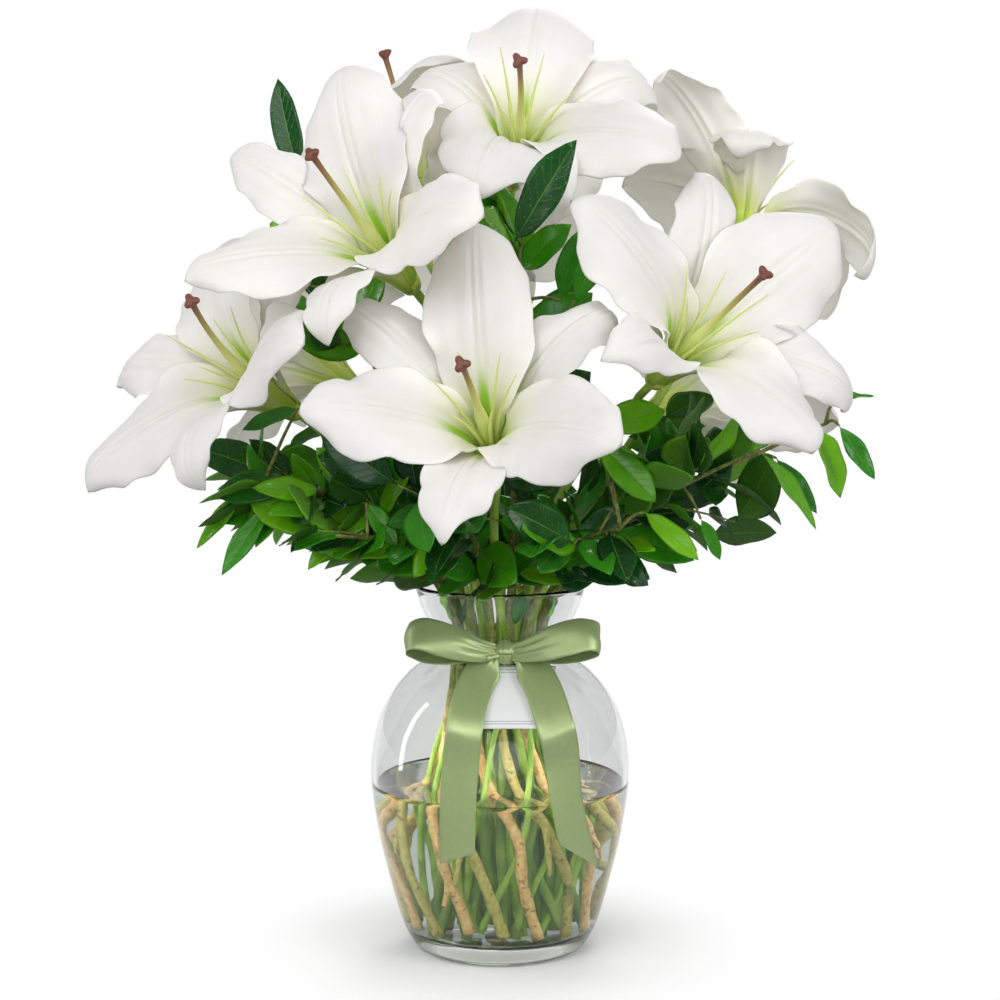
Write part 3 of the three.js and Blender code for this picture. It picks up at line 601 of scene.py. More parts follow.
# the inside of the wall as far up as high, and its rounded corner at the floor
def insideLine(wall, high):
    slope = np.gradient(outline, axis=0)
    inward = unit(np.column_stack([-slope[:, 1], slope[:, 0]]))
    inner = outline + inward * wall
    inner = inner[(inner[:, 1] > vase["floor"] + vase["cornerTop"]) & (inner[:, 1] < high)]
    return inner, np.add(vase["corner"], inner[0])


def makeVase():
    inner, corner = insideLine(vase["wall"], vase["height"] - vase["lipDepth"])
    lip = np.add(vase["lip"], (vase["rim"], vase["height"]))
    middle = [(20, vase["floor"] + 0.4), (0, vase["floor"])]
    bundle = Bundle()
    profile = [*vase["hollow"], *outline[1:-1], *lip, *inner[::-1], *corner, *middle]
    bundle.add(turned(profile, vase["sides"]))
    bundle.piece("urnVase", [paints["glass"]], ["vase"])


# the water reaches a little into the glass, and climbs it at the edge
def makeWater():
    level, overlap = water["level"], water["overlap"]
    inner, corner = insideLine(vase["wall"] - overlap, level)
    edge = insideRadius(level) + overlap
    middle = [(0, vase["floor"] - 0.1), (20, vase["floor"] + 0.3)]
    top = [*np.add(water["edge"], (edge, level)), (edge * 0.5, level), (0, level)]
    bundle = Bundle()
    bundle.add(turned([*middle, *corner[::-1], *inner, *top], vase["sides"]))
    bundle.piece("vaseWater", [paints["water"]], ["water"])


makeVase()
makeWater()
print("vase and water made")

# the blooms. A petal's numbers are millimetres and degrees, and bend and cup are shares.
lily = {
    "depth": 22, "thickness": 1.0, "along": 60, "seed": 11,
    "across": [0.035, 0.07, 0.11, 0.155, 0.2, 0.27, 0.36, 0.46, 0.56, 0.66, 0.75, 0.83, 0.9, 0.95, 0.985, 1],
    "ruffles": [(1.9, 2.9, 2.2), (3.7, 2.3, 3.2), (7.1, 1.1, 6)],  # waves on an edge, their height and reach
    "cup": [(-3, 3.2), (-2, 4.4), (0, 5.8), (3, 6.6), (6, 6.9)],  # under the petals: distances and radii
}
pistil = {
    "seed": 77, "style": 118, "lean": 18, "ovary": 3.4, "gap": 0.35, "end": 0.955,
    "widths": [
        (0, 3.7), (0.25, 4.0), (0.4, 3.6), (0.5, 2.4), (0.62, 1.8), (0.85, 1.6), (0.93, 1.8), (1, 2.3),
    ],
    "stigma": [  # distances, radii and how deep the three lobes are
        (-1.8, 1.6, 0), (0.0, 2.1, 0.12), (1.4, 3.1, 0.22), (2.6, 3.8, 0.28),
        (3.7, 3.9, 0.3), (4.5, 3.2, 0.36), (4.9, 2.2, 0.42), (5.1, 1.0, 0.4),
    ],
    "filament": [(0, 1.9), (0.35, 1.4), (0.75, 0.75), (1, 0.3)], "long": (66, 14), "spread": (13, 9),
}
petalKinds = [
    {  # the wide inner petals
        "length": 150, "width": 66, "open": 52, "curl": 38, "bend": 0.55, "cup": 0.55, "wave": 3,
        "root": 4.4, "tube": 8, "flare": 26, "tipRoll": 48, "widest": 0.58, "taper": 0.62, "claw": 0.16,
    },
    {  # the narrow outer ones
        "length": 146, "width": 44, "open": 56, "curl": 60, "bend": 0.5, "cup": 0.35, "wave": 2,
        "root": 5.8, "tube": 12, "flare": 33, "tipRoll": 48, "widest": 0.52, "taper": 0.75, "claw": 0.16,
    },
]
# heart is a point inside a bloom, face its azimuth and elevation, roll turns it about its axis, and style is
# how far the pistil leans up and to the right. A petal may have its own open, curl, shift, width and length,
# in this order, and None keeps that of its kind.
blooms = {
    "front": {
        "heart": (-6, -130, 321), "face": (-9, 34), "roll": 0, "style": (-5, 0),
        "petals": [(54, 41, -3, 62), (68, 122, -13), (47, 31), (44, 49, 3), (43, 27, 7), (67, 82, 7)],
    },
    "upper_left": {
        "heart": (-60, -78, 418), "face": (-32, 35), "roll": -21, "style": (2, 0),
        "petals": [
            (58, 44, 0, 72), (54, 130, -25), (56, 39), (40, 97, 7, None, 136), (47, 30, 5), (53, 57, 10),
        ],
    },
    "right": {
        "heart": (98, -85, 363), "face": (31, 32), "roll": 62, "style": (-1, 0),
        "petals": [(52, 35, 0, 74), (60, 109), (52, 33, -6), (44, 69, 8), (63, 35, 8), (60, 70, 11)],
    },
    "lower_left": {
        "heart": (-133, -60, 343), "face": (-46, 30), "roll": -30, "style": (4, 17),
        "petals": [(80, 69, -3), (50, 90, 0, None, 112), (56, 38), (43, 101), (62, 35, -5), (68, 95, -4)],
    },
    "top": {
        "heart": (10, -15, 481), "face": (8, 41), "roll": 3, "style": (-10, -6),
        "petals": [
            (83, 72, 7, 76), (69, 164, 6), (56, 39, 4), (52, 56, -4), (49, 82, -31), (80, 128, 8, None, 122),
        ],
    },
    "top_left": {
        "heart": (-50, 84, 456), "face": (-145, 76), "roll": 32, "style": (1, 7),
        "petals": [
            (53, 60, -10), (50, 120, 0, None, 120), (30, 35, 16, None, 138), (), (60, 60, 0, None, 125),
            (30, 80, 0, None, 96),
        ],
    },
    "top_right": {
        "heart": (150, 25, 444), "face": (170, 33), "roll": -22, "style": (9, 13),
        "petals": [
            (112, 140, 16, 48, 122), (68, 97, -5), (None, None, 0, None, 130), (45, None, 0, None, 120),
            (79, 65, -8), (99, 130, -24),
        ],
    },
    "back_right": {
        "heart": (108, 121, 325), "face": (132, 16), "roll": 12, "size": 0.94,
        "petals": [(), (), (), (), (), (None, None, 0, None, 132)],
    },
    "back_left": {"heart": (-105, 105, 345), "face": (-130, 24), "roll": -8, "size": 0.96},
    "back": {"heart": (-2, 140, 418), "face": (182, 34), "roll": 6},
}
for i, bloom in enumerate(blooms.values()):
    bloom["seed"] = lily["seed"] + i


def bloomFrame(bloom):
    azimuth, elevation = np.radians(bloom["face"])
    level = math.cos(elevation)
    axis = vec(math.sin(azimuth) * level, -math.cos(azimuth) * level, math.sin(elevation))
    up = unit(vec(0, 0, 1) - axis[2] * axis)
    size = bloom.get("size", 1)
    seat = vec(*bloom["heart"]) - axis * lily["depth"] * size
    return {"axis": axis, "up": up, "right": np.cross(up, axis), "size": size, "seat": seat}


# half the width of a petal along it, as a share: a narrow claw, the widest place and the taper to the tip
def petalWidth(s, petal):
    widest, claw = petal["widest"], petal["claw"]
    low = claw + (1 - claw) * smooth(s / widest) ** 1.3
    u = np.clip((s - widest) / (1 - widest), 0, 1)
    return np.where(s < widest, low, np.clip(1 - u * u, 0, 1) ** petal["taper"])


# from one direction towards another, by an angle for each row
def turnOf(angle, first, second):
    return np.cos(angle)[:, None] * first + np.sin(angle)[:, None] * second


# the midrib of a petal: places, and the sideways and outward directions there
def petalRib(at, petal, steps=128):
    turn = math.radians(petal["turn"])
    radial = at["up"] * math.cos(turn) + at["right"] * math.sin(turn)
    across = at["right"] * math.cos(turn) - at["up"] * math.sin(turn)

    def heading(s):
        late = np.clip((s - petal["bend"]) / (1 - petal["bend"]), 0, 1)
        lean = petal["tube"] + (petal["flare"] - petal["tube"]) * smooth(s / 0.35)
        lean = lean + (petal["open"] - petal["flare"]) * smooth((s - 0.2) / 0.4) + petal["curl"] * late**1.4
        lean = np.radians(lean + petal["tipRoll"] * smooth((s - 0.84) / 0.16))  # the tip rolls back
        sway, roll = np.radians(petal["side"] * s * s), np.radians(petal["twist"] * smooth(s / 0.8))
        forward, back = turnOf(lean, at["axis"], radial), turnOf(lean, radial, -at["axis"])
        ahead, flank = turnOf(sway, forward, across), turnOf(sway, across + 0 * forward, -forward)
        return ahead, turnOf(roll, flank, back), turnOf(roll, back, -flank)

    s = np.linspace(0, 1, steps + 1)
    lag = 1 / 64  # the CAD part takes 32 steps, each with the heading at its start, half a step late
    ahead = heading(np.clip(s - lag, 0, 1))[0]
    start = at["seat"] + radial * petal["root"] * at["size"] + at["axis"]
    moved = np.vstack([np.zeros(3), np.cumsum(ahead[:-1], axis=0)]) * petal["length"] * at["size"] / steps
    _, beside, normal = heading(s)
    return s, start + moved, beside, normal


def petalsOf(bloom):
    draw = draws(bloom["seed"])
    petals = []
    for k in range(6):
        kind = petalKinds[k % 2]
        row = bloom.get("petals", [()] * 6)[k]
        own = zip(("open", "curl", "shift", "width", "length"), row)
        own = {key: value for key, value in own if value is not None}
        spread = draw() - 0.5
        sway = 0.6 * own.get("shift", 0) + 6 * (draw() - 0.5)
        twist = 12 * (draw() - 0.5)
        petal = {**kind, "side": sway, "twist": twist, "phase": draw(), "shift": 0, **own}
        petal["open"] = own.get("open", kind["open"] + 10 * spread)
        petal["turn"] = bloom.get("roll", 0) + 60 * k + petal["shift"]
        petal["mark"] = k % 2
        petals.append(petal)
    return petals


def petalBlade(at, petal):
    line, *ribs = petalRib(at, petal)
    s = np.linspace(0, 1, lily["along"] + 1) ** 0.93
    q = acrossBlade(lily["across"])
    ribs = [np.stack([np.interp(s, line, rib[:, i]) for i in range(3)], -1)[:, None, :] for rib in ribs]
    place, beside, normal = ribs[0], unit(ribs[1]), unit(ribs[2])
    s = s[:, None]
    half = petal["width"] / 2 * at["size"]
    reach = half * petalWidth(s, petal) * ((s > 0) & (s < 1))
    hollow = petal["cup"] * (1 - 1.5 * smooth((s - 0.2) / 0.6))
    ripple = np.sin(2 * np.pi * (1.7 * s + petal["phase"]) + np.where(q < 0, 2.2, 0))
    lift = -hollow * reach * q * q + petal["wave"] * np.abs(q) ** 2.5 * ripple * np.sin(np.pi * s)
    # ruffled edges, shorter and stronger towards the tip, and different on the two sides
    late = smooth(s / 0.4) * np.sin(np.pi * np.clip(s, 0, 1)) ** 0.5
    stray = 0
    for turns, height, power in lily["ruffles"]:
        phase = 7.3 * petal["phase"] * turns + np.where(q < 0, 2.6, 0.4)
        lift = lift + height * late * np.abs(q) ** power * np.sin(2 * np.pi * turns * s + phase)
        stray = stray + 0.5 * height * np.sin(2 * np.pi * turns * s + phase + 1.3)
    # the edge rolls back a little near the tip
    lift = lift + 0.16 * reach * smooth((s - 0.45) / 0.4) * np.abs(q) ** 4
    # the sunken midrib between two ridges, and shallow folds beside it
    body = smooth(s / 0.12) * smooth((1 - s) / 0.3)
    across = q * reach
    rib = 2.6 * (1 - 0.5 * s)
    lift = lift - body * 0.5 * np.exp(-((across / rib) ** 2))
    lift = lift + body * 0.7 * np.exp(-(((np.abs(across) - 1.3 * rib) / 0.95) ** 2))
    lift = lift + 0.42 * np.cos(across * 0.55 + 3 * petal["phase"]) * (1 - q * q) * body
    sideways = (reach + stray * late * np.abs(q)) * q * (1 - 0.12 * np.abs(hollow) * q * q)
    point = place + beside * sideways[..., None] + normal * lift[..., None]
    thick = lily["thickness"] / 2 * (1 - 0.45 * s) * np.minimum(1, reach * (1 - np.abs(q)) / 0.6)
    return shell(point, normal + 0 * point, thick, q, s, (petal["phase"], petal["mark"]))


def makeBloom(name, bloom):
    at = bloomFrame(bloom)
    bundle = Bundle()
    points = [at["seat"] + at["axis"] * d * at["size"] for d, _ in lily["cup"]]
    cup, faces, uv, tone = rod(points, [r * at["size"] for _, r in lily["cup"]], 24)
    bundle.add((cup, faces, uv * 0.05, tone))  # its colour is that of the throat
    for petal in petalsOf(bloom):
        bundle.add(petalBlade(at, petal))
    bundle.piece("lilyBloom." + name, [paints["petal"]], ["lily_" + name])


# a stalk inside a bloom that bends upwards and sideways by so many degrees
def pistilBow(at, first, length, upward, sideways, steps):
    end = first + at["axis"] * length + at["up"] * length * math.tan(math.radians(upward))
    end = end + at["right"] * length * math.tan(math.radians(sideways))
    return bow(first, first + at["axis"] * length / 2, end, steps)


def widthsAlong(line, rows):
    shares, widths = zip(*rows)
    return np.interp(np.linspace(0, 1, len(line)), shares, widths)


def makePistil(name, bloom):
    at = bloomFrame(bloom)
    size, axis = at["size"], at["axis"]
    draw = draws(bloom["seed"] + pistil["seed"])
    upward, sideways = bloom.get("style", (pistil["lean"], 0))
    start = at["seat"] + axis * (5 * size + pistil["gap"])
    line = pistilBow(at, start, pistil["style"] * size, upward, sideways, 60)
    width = widthsAlong(line, pistil["widths"])
    cut = int(pistil["end"] * len(line))
    bundle = Bundle()
    bundle.add(rod(line[:cut], width[:cut] * size, 16))
    ahead = unit(line[-1] - line[-4])
    spots = [line[cut - 1] + ahead * d * size for d, _, _ in pistil["stigma"]]
    lobes = [lobe for _, _, lobe in pistil["stigma"]]
    head, faces, _, tone = rod(spots, [r * size for _, r, _ in pistil["stigma"]], 36, lobes)
    bundle.add((head, faces, np.tile([0.5, 1.0], (len(head), 1)), tone))
    for k in range(6):  # filaments
        turn = math.radians(60 * k + 30)
        outward = at["up"] * math.cos(turn) + at["right"] * math.sin(turn)
        root = start + axis + 1.05 * pistil["ovary"] * outward
        spread = within(pistil["spread"], draw)
        length = within(pistil["long"], draw) * size
        line = pistilBow(at, root, length, spread * math.cos(turn) + 4, spread * math.sin(turn), 20)
        bundle.add(rod(line, widthsAlong(line, pistil["filament"]) * size, 8, tone=(0.5, 0, 1)))
    bundle.piece("lilyPistil." + name, [paints["pistil"]], ["pistil_" + name])


for name, bloom in blooms.items():
    makeBloom(name, bloom)
    makePistil(name, bloom)
print("blooms made")

# stems. A ring is a radius in the neck, a number of places, radii at the belly and at the feet, and a start.
stems = {
    "rings": [(0, 1, 6, 6, 0), (12.5, 6, 29, 24, 20), (25, 14, 51, 43, 14)],
    "twist": 66, "neck": 187, "wide": 74, "close": 120, "lily": 3.2, "stalk": 2.7, "woody": 2.8, "seed": 900,
    "offGlass": 5, "gap": 0.35, "straight": 14, "steps": 24,
}


# places about the vase's axis from rows of radius, share of the twist and height
def spiral(rows, angle, twist):
    spots = []
    for reach, share, level in rows:
        turn = angle + twist * share
        spots.append(vec(reach * math.sin(turn), -reach * math.cos(turn), level))
    return spots


# a stem passes the neck, spreads to the belly over the water, and comes in again to its foot
def neckPlace(ring, place):
    radius, count, belly, foot, start = stems["rings"][ring]
    low = vase["floor"] + 2 + (place * 7 + ring * 5) % 9
    way = [
        (foot, 1, low), (1.06 * belly, 0.72, stems["wide"]), (0.72 * belly, 0.3, stems["close"]),
        (radius, 0, stems["neck"]),
    ]
    return spiral(way, math.radians(start + 360 * place / count), math.radians(stems["twist"]))


# each lily stem: its ring and place, and its blooms with the bend of the stalk and where that forks off
lilyStems = {
    "a": {"at": (1, 0), "blooms": [("front", (-8, -50, 258), 0)]},
    "b": {"at": (1, 1), "blooms": [("right", (40, -30, 265), 0), ("top_right", (95, 0, 330), 0.45)]},
    "c": {"at": (1, 2), "blooms": [("back_right", (28, 38, 290), 0)]},
    "d": {"at": (1, 3), "blooms": [("back_left", (-22, 28, 285), 0)]},
    "e": {"at": (1, 4), "blooms": [("lower_left", (-50, -20, 265), 0)]},
    "f": {"at": (1, 5), "blooms": [("upper_left", (-25, -30, 300), 0)]},
    "g": {
        "at": (0, 0),
        "blooms": [
            ("top", (4, 10, 330), 0), ("top_left", (-20, 50, 380), 0.5), ("back", (5, 85, 330), 0.35),
        ],
    },
}


# from the neck up to a bloom, straight at the end
def stalkLine(first, via, name):
    at = bloomFrame(blooms[name])
    end = at["seat"] - at["axis"] * (3 * at["size"] + stems["gap"])
    before = end - at["axis"] * stems["straight"]
    return np.vstack([bow(first, vec(*via), before, stems["steps"]), (before + end) / 2, end])


# a stem from its foot by the belly to the neck, bent a little at its joints and kept inside the glass
def waterLine(spots, draw, bends, steps=5):
    stations = []
    base = through(spots, 3)
    for i, spot in enumerate(base):
        bend = bends * math.sin(math.pi * min(1, 0.25 + i / (len(base) - 1)) ** 1.5)
        spot = spot + vec(draw() - 0.5, draw() - 0.5, 0) * 2 * bend
        room = insideRadius(spot[2]) - stems["offGlass"]
        share = min(1, room / max(math.hypot(spot[0], spot[1]), 1))
        stations.append(spot * vec(share, share, 1))
    return through(stations, steps)


def makeLilyStem(name, stem):
    spots = neckPlace(*stem["at"])
    bundle = Bundle()
    (mainBloom, mainVia, _), *forked = stem["blooms"]
    main = stalkLine(spots[-1], mainVia, mainBloom)
    draw = draws(stems["seed"] + ord(name))
    line = np.vstack([waterLine(spots, draw, 1.2)[:-1], main])
    uneven = 1 + 0.03 * np.sin(np.arange(len(line)) * (1.1 + draw()))
    bundle.add(rod(line, stems["lily"] * np.linspace(0.98, 0.8, len(line)) * uneven, 14))
    for bloomName, via, fork in forked:
        stalk = stalkLine(main[int(round(fork * stems["steps"]))], via, bloomName)
        bundle.add(rod(stalk, np.linspace(stems["stalk"], 0.9 * stems["stalk"], len(stalk)), 14))
    bundle.piece("lilyStem." + name, [paints["stem"]], ["lily_stem_" + name])


for name, stem in lilyStems.items():
    makeLilyStem(name, stem)
print("lily stems made")

# leafy stems: reach is how far out the end of one is, and rise how high. Two stand among the blooms.
greens = {
    "length": 58, "width": 47, "from": 0.26, "along": 12, "across": [0.09, 0.42, 0.78, 1], "thickness": 0.5,
    "slim": 0.86, "shoots": 8, "frontRise": 0.2, "outRise": 0.34, "rimReach": 75, "gap": 2.5, "fold": 0.12,
    "size": (0.72, 0.42), "broad": (0.85, 0.3), "shootLong": (24, 30), "shootLeaf": (0.56, 0.36),
    "viaReach": 28, "viaRise": 252,
    "seeds": {"ways": 400, "looks": 4000, "water": 6000},
    "stems": [
        {"via": (10, -48, 320), "head": (12, -46, 430), "facing": (-0.3, -1, 0.4), "from": 0.42, "leaves": 11,
         "tip": (0.62, -0.1, 0.78)},
        {"reach": 108, "rise": 268, "leaves": 13},
        {"reach": 165, "rise": 312, "leaves": 13, "tip": (0.65, -0.1, -0.72)},
        {"reach": 198, "rise": 322, "leaves": 13, "tip": (0.5, -0.05, -0.86)},
        {"reach": 158, "rise": 268, "leaves": 12},
        {"reach": 150, "rise": 305, "leaves": 11},
        {"reach": 130, "rise": 265, "leaves": 11},
        {"reach": 150, "rise": 305, "leaves": 11},
        {"reach": 145, "rise": 262, "leaves": 11},
        {"via": (-62, 12, 330), "head": (-119, -2, 470), "facing": (-0.3, -1, 0.2), "from": 0.62, "leaves": 7,
         "tip": (-0.33, 0, 0.94), "tipWidth": 29, "shoots": 3},
        {"reach": 160, "rise": 300, "leaves": 12},
        {"reach": 152, "rise": 294, "leaves": 13, "tip": (-0.48, -0.1, -0.87)},
        {"reach": 150, "rise": 268, "leaves": 13},
        {"reach": 118, "rise": 278, "leaves": 13},
    ],
}


def twigBow(place, twig):
    spots = neckPlace(2, place)
    outward = unit(spots[-1] * vec(1, 1, 0))
    if "head" in twig:
        return spots, vec(*twig["via"]), vec(*twig["head"])
    via = outward * greens["viaReach"] + vec(0, 0, greens["viaRise"])
    return spots, via, outward * twig["reach"] + vec(0, 0, twig["rise"])


# the place on a leafy stem at t from 0 in the neck to 1 at its end, and the stem's heading there
def onTwig(neck, via, head, t):
    place = (1 - t) ** 2 * neck + 2 * t * (1 - t) * via + t * t * head
    return place, unit((1 - t) * (via - neck) + t * (head - via))


# half the width of a leaf along it, as a share of its full width: a short stalk, an oval and a drawn-out tip
def leafOutline(s):
    t = np.clip((s - 0.1) / 0.9, 0, 1)
    return 0.05 + 1.72 * t**0.72 * (1 - t) ** 0.82 * (1 - 0.3 * smooth((t - 0.72) / 0.28))


# the lowest place for a leaf's tip, higher towards the front and outwards
def leafFloor(root):
    outward = greens["outRise"] * (math.hypot(root[0], root[1]) - greens["rimReach"])
    return vase["height"] + max(4, outward, -2 - greens["frontRise"] * root[1])


# a leaf from its root, with its heading lifted until its tip is above low, turned to face outwards
def leafAt(root, heading, outward, low, length, width, droop):
    heading[2] = max(heading[2], (low - root[2]) / length + droop)
    heading = unit(heading)
    across = unit(np.cross(heading, outward))
    return {
        "root": root, "ahead": heading, "normal": unit(np.cross(across, heading)), "length": length,
        "width": width, "droop": droop, "fold": greens["fold"],
    }


# the ways that one leaf may lie. The CAD part took the first that was clear.
def leafWays(place, twig):
    draw = draws(greens["seeds"]["ways"] + place)
    spots, via, head = twigBow(place, twig)
    count, low = twig["leaves"], twig.get("from", greens["from"])
    among = "facing" in twig  # it stands among the blooms
    leaves = []
    for i in range(count):
        t = min(1, low + (1 - low) * (i + 0.4 * draw()) / (count - 0.6))
        sway, lift, tilt = draw(), draw(), draw()
        size, broad = within(greens["size"], draw), within(greens["broad"], draw)
        root, ahead = onTwig(spots[-1], via, head, t)
        outward = vec(*twig["facing"]) if among else unit(vec(root[0], root[1], 0)) * 0.85 + vec(0, 0, 0.5)
        spin = (1 if among else 1.8) * (tilt - 0.5)
        c, s = math.cos(spin), math.sin(spin)
        outward = vec(c * outward[0] - s * outward[1], s * outward[0] + c * outward[1], outward[2])
        side = unit(np.cross(ahead, outward))
        top = np.cross(side, ahead)
        droop, last = 0.12 + 0.25 * lift, i == count - 1
        length = greens["length"] * size
        width = greens["width"] * size * broad
        if last:
            width = twig.get("tipWidth", width)
        ways = []
        for attempt in range(4):
            hand = (1 if i % 2 else -1) * (-1 if attempt % 2 else 1)
            rise = (lift - 0.4) * 1.6 - (0.6 if attempt > 1 else 0)
            heading = unit(ahead + side * hand * (0.15 if last else 0.8 + 0.9 * sway) + top * rise)
            if last and "tip" in twig and attempt == 0:
                heading = vec(*twig["tip"])
            way = leafAt(root, heading, outward, leafFloor(root), length, width, droop)
            ways.append({**way, "last": last and "tipWidth" in twig})
        leaves.append(ways)
    return leaves


# a place on a leaf's midrib, from 0 at its root to 1 at its tip
def onLeaf(leaf, s):
    length = leaf["length"]
    return leaf["root"] + leaf["ahead"] * length * s - leaf["normal"] * leaf["droop"] * length * s * s


def leafBlade(leaf, tone, wave):
    s = np.linspace(0, 1, greens["along"] + 1)[:, None]
    q = acrossBlade(greens["across"])
    half = leaf["width"] / 2 * leafOutline(s) * ((s > 0) & (s < 1))
    beside = unit(np.cross(leaf["normal"], leaf["ahead"]))
    length = leaf["length"]
    lift = -leaf["droop"] * length * s * s + leaf["fold"] * half * q * q
    lift = lift + 1.1 * np.sin(2 * np.pi * (1.8 * s + wave)) * q * np.abs(q) * np.sin(np.pi * s)
    lift = lift - 0.6 * np.exp(-((q * half / 1.2) ** 2)) * np.sin(np.pi * s)
    curve = 0.05 * length * math.sin(6 * wave) * s * s
    point = leaf["root"] + leaf["ahead"] * (length * s)[..., None] + leaf["normal"] * lift[..., None]
    point = point + beside * (half * q + curve)[..., None]
    thick = greens["thickness"] / 2 * np.minimum(1, half * (1 - np.abs(q)) / 0.4) * ((s > 0) & (s < 1))
    return shell(point, leaf["normal"] + 0 * point, thick, q, s, (tone, 0))


# the points of a CAD node, for finding the nearest one
def treeOf(node):
    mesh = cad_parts[node].data
    tree = KDTree(len(mesh.vertices))
    for i, vertex in enumerate(mesh.vertices):
        tree.insert(vertex.co, i)
    tree.balance()
    return tree


# the flowers, vase, ribbon and card, which added leaves keep clear of
def obstacles():
    points, faces = [], []
    for name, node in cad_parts.items():
        if name.startswith(("lily_", "pistil_", "vase", "ribbon", "card")):
            first = len(points)
            points += [v.co.copy() for v in node.data.vertices]
            faces += [[first + i for i in p.vertices] for p in node.data.polygons]
    return BVHTree.FromPolygons(points, faces)


flowers = obstacles()


# whether the midrib and both halves of a leaf keep their gap to the obstacles
def isClear(leaf):
    beside = np.cross(leaf["normal"], leaf["ahead"])
    for s in (0.25, 0.5, 0.75, 1.0):
        half = leaf["width"] / 2 * float(leafOutline(np.array(s)))
        for q in (-0.8, 0, 0.8):
            spot = Vector((onLeaf(leaf, s) + beside * half * q) * mm)
            if flowers.find_nearest(spot)[3] < greens["gap"] * mm:
                return False
    return True


# the lowest place for the side shoots, which stay higher on the left
def shootFloor(root):
    return leafFloor(root) + 16 * smooth((-20 - root[0]) / 40)


# a drawn direction, of three numbers about 0
def stray(draw):
    return vec(draw(), draw(), draw()) - 0.5


# a leaf that hangs on a shoot of its own
def looseLeaf(root, heading, draw, size):
    droop = 0.1 + 0.25 * draw()
    outward = unit(vec(root[0], root[1], 0)) * 0.8 + vec(0, 0, 0.5) + 1.1 * (vec(draw(), draw(), 0.5) - 0.5)
    width = greens["width"] * size * within(greens["broad"], draw)
    return leafAt(root, unit(heading), outward, shootFloor(root), greens["length"] * size, width, droop)


# side shoots with up to three leaves each, which fill the bunch
def addShoots(bundle, twig, neck, via, head, draw):
    low = twig.get("from", greens["from"])
    for _ in range(twig.get("shoots", greens["shoots"])):
        root, ahead = onTwig(neck, via, head, low + (0.95 - low) * draw())
        way = unit(ahead + 2.6 * stray(draw) + vec(0, 0, 0.1))
        end = root + way * within(greens["shootLong"], draw)
        end[2] = max(end[2], shootFloor(end) + 4)
        shoot = bow(root, (root + end) / 2 + vec(0, 0, 4), end, 6)
        leaves = []
        for k in (2, 4, 6):
            heading = way + 1.5 * stray(draw)
            leaves.append(looseLeaf(shoot[k], heading, draw, within(greens["shootLeaf"], draw)))
        tones = [(draw(), draw()) for _ in leaves]
        kept = [k for k, leaf in enumerate(leaves) if isClear(leaf)]
        if kept:
            shoot = shoot[: 3 + 2 * kept[-1]]
            bundle.add(rod(shoot, np.linspace(1.0, 0.5, len(shoot)), 6), paint=1)
            for k in kept:
                bundle.add(leafBlade(leaves[k], *tones[k]))


# single leaves that stand out: the leafy stem they are on, root, tip, width, the way they face, and tone.
# The last four hang in the neck of the vase.
markedLeaves = [
    (0, (8, -114, 431), (37, -150, 482), 40, (-0.5, -1, 0.3), 0.12),
    (1, (58, -84, 326), (94, -74, 338), 34, (0.1, -1, 0.5), 0.86),
    (1, (56, -85, 317), (90, -95, 288), 34, (0.1, -1, 0.4), 0.80),
    (13, (43, -70, 398), (60, -80, 437), 26, (0.3, -1, 0.3), 0.66),
    (0, (35, -60, 398), (43, -75, 435), 22, (-0.2, -1, 0.4), 0.45),
    (11, (-102, -85, 290), (-138, -98, 293), 24, (-0.2, -1, 0.6), 0.88),
    (10, (-132, -75, 283), (-159, -88, 243), 22, (-0.4, -1, 0.3), 0.68),
    (11, (-112, -118, 339), (-145, -112, 329), 15, (0, -1, 0.5), 0.4),
    (12, (-76, -95, 284), (-57, -100, 261), 20, (0.1, -1, 0.4), 0.72),
    (13, (-1, -95, 274), (28, -105, 277), 26, (0.1, -1, 0.7), 0.55),
    (2, (164, -30, 304), (186, -45, 274), 20, (0.3, -1, 0.2), 0.40),
    (3, (204, -10, 322), (226, -15, 291), 20, (0.4, -1, 0.2), 0.45),
    (1, (83, -80, 277), (114, -90, 253), 22, (0.2, -1, 0.5), 1.0),
    (1, (66, -80, 247), (84, -88, 236), 20, (0.1, -1, 0.3), 0.12),
    (12, (-60, -80, 301), (-92, -90, 313), 27, (-0.2, -1, 0.5), 0.95),
    (12, (-34, -72, 284), (-50, -90, 311), 26, (0, -1, 0.3), 0.98),
    (11, (-85, -70, 275), (-109, -86, 246), 20, (-0.3, -1, 0.3), 0.9),
    (10, (-148, -60, 290), (-177, -62, 254), 16, (-0.5, -1, 0.2), 0.85),
    (3, (205, 14, 338), (229, 14, 340), 8, (0, -0.6, 0.8), 0.5),
    (2, (117, -60, 271), (131, -55, 247), 14, (0.2, -1, 0.2), 0.7),
    (0, (34, -62, 238), (52, -70, 234), 24, (0.1, -1, 0.2), 0.2),
    (11, (-22, -30, 226), (-25, -25, 204), 13, (-0.6, -0.75, 0.1), 0.2),
    (13, (14, -36, 226), (8, -34, 205), 14, (0.2, -1, 0.1), 0.35),
    (10, (-36, -14, 226), (-31, -17, 204), 12, (-0.9, -0.4, 0.1), 1.0),
    (2, (34, -16, 226), (31, -17, 205), 12, (0.9, -0.4, 0.1), 0.75),
]


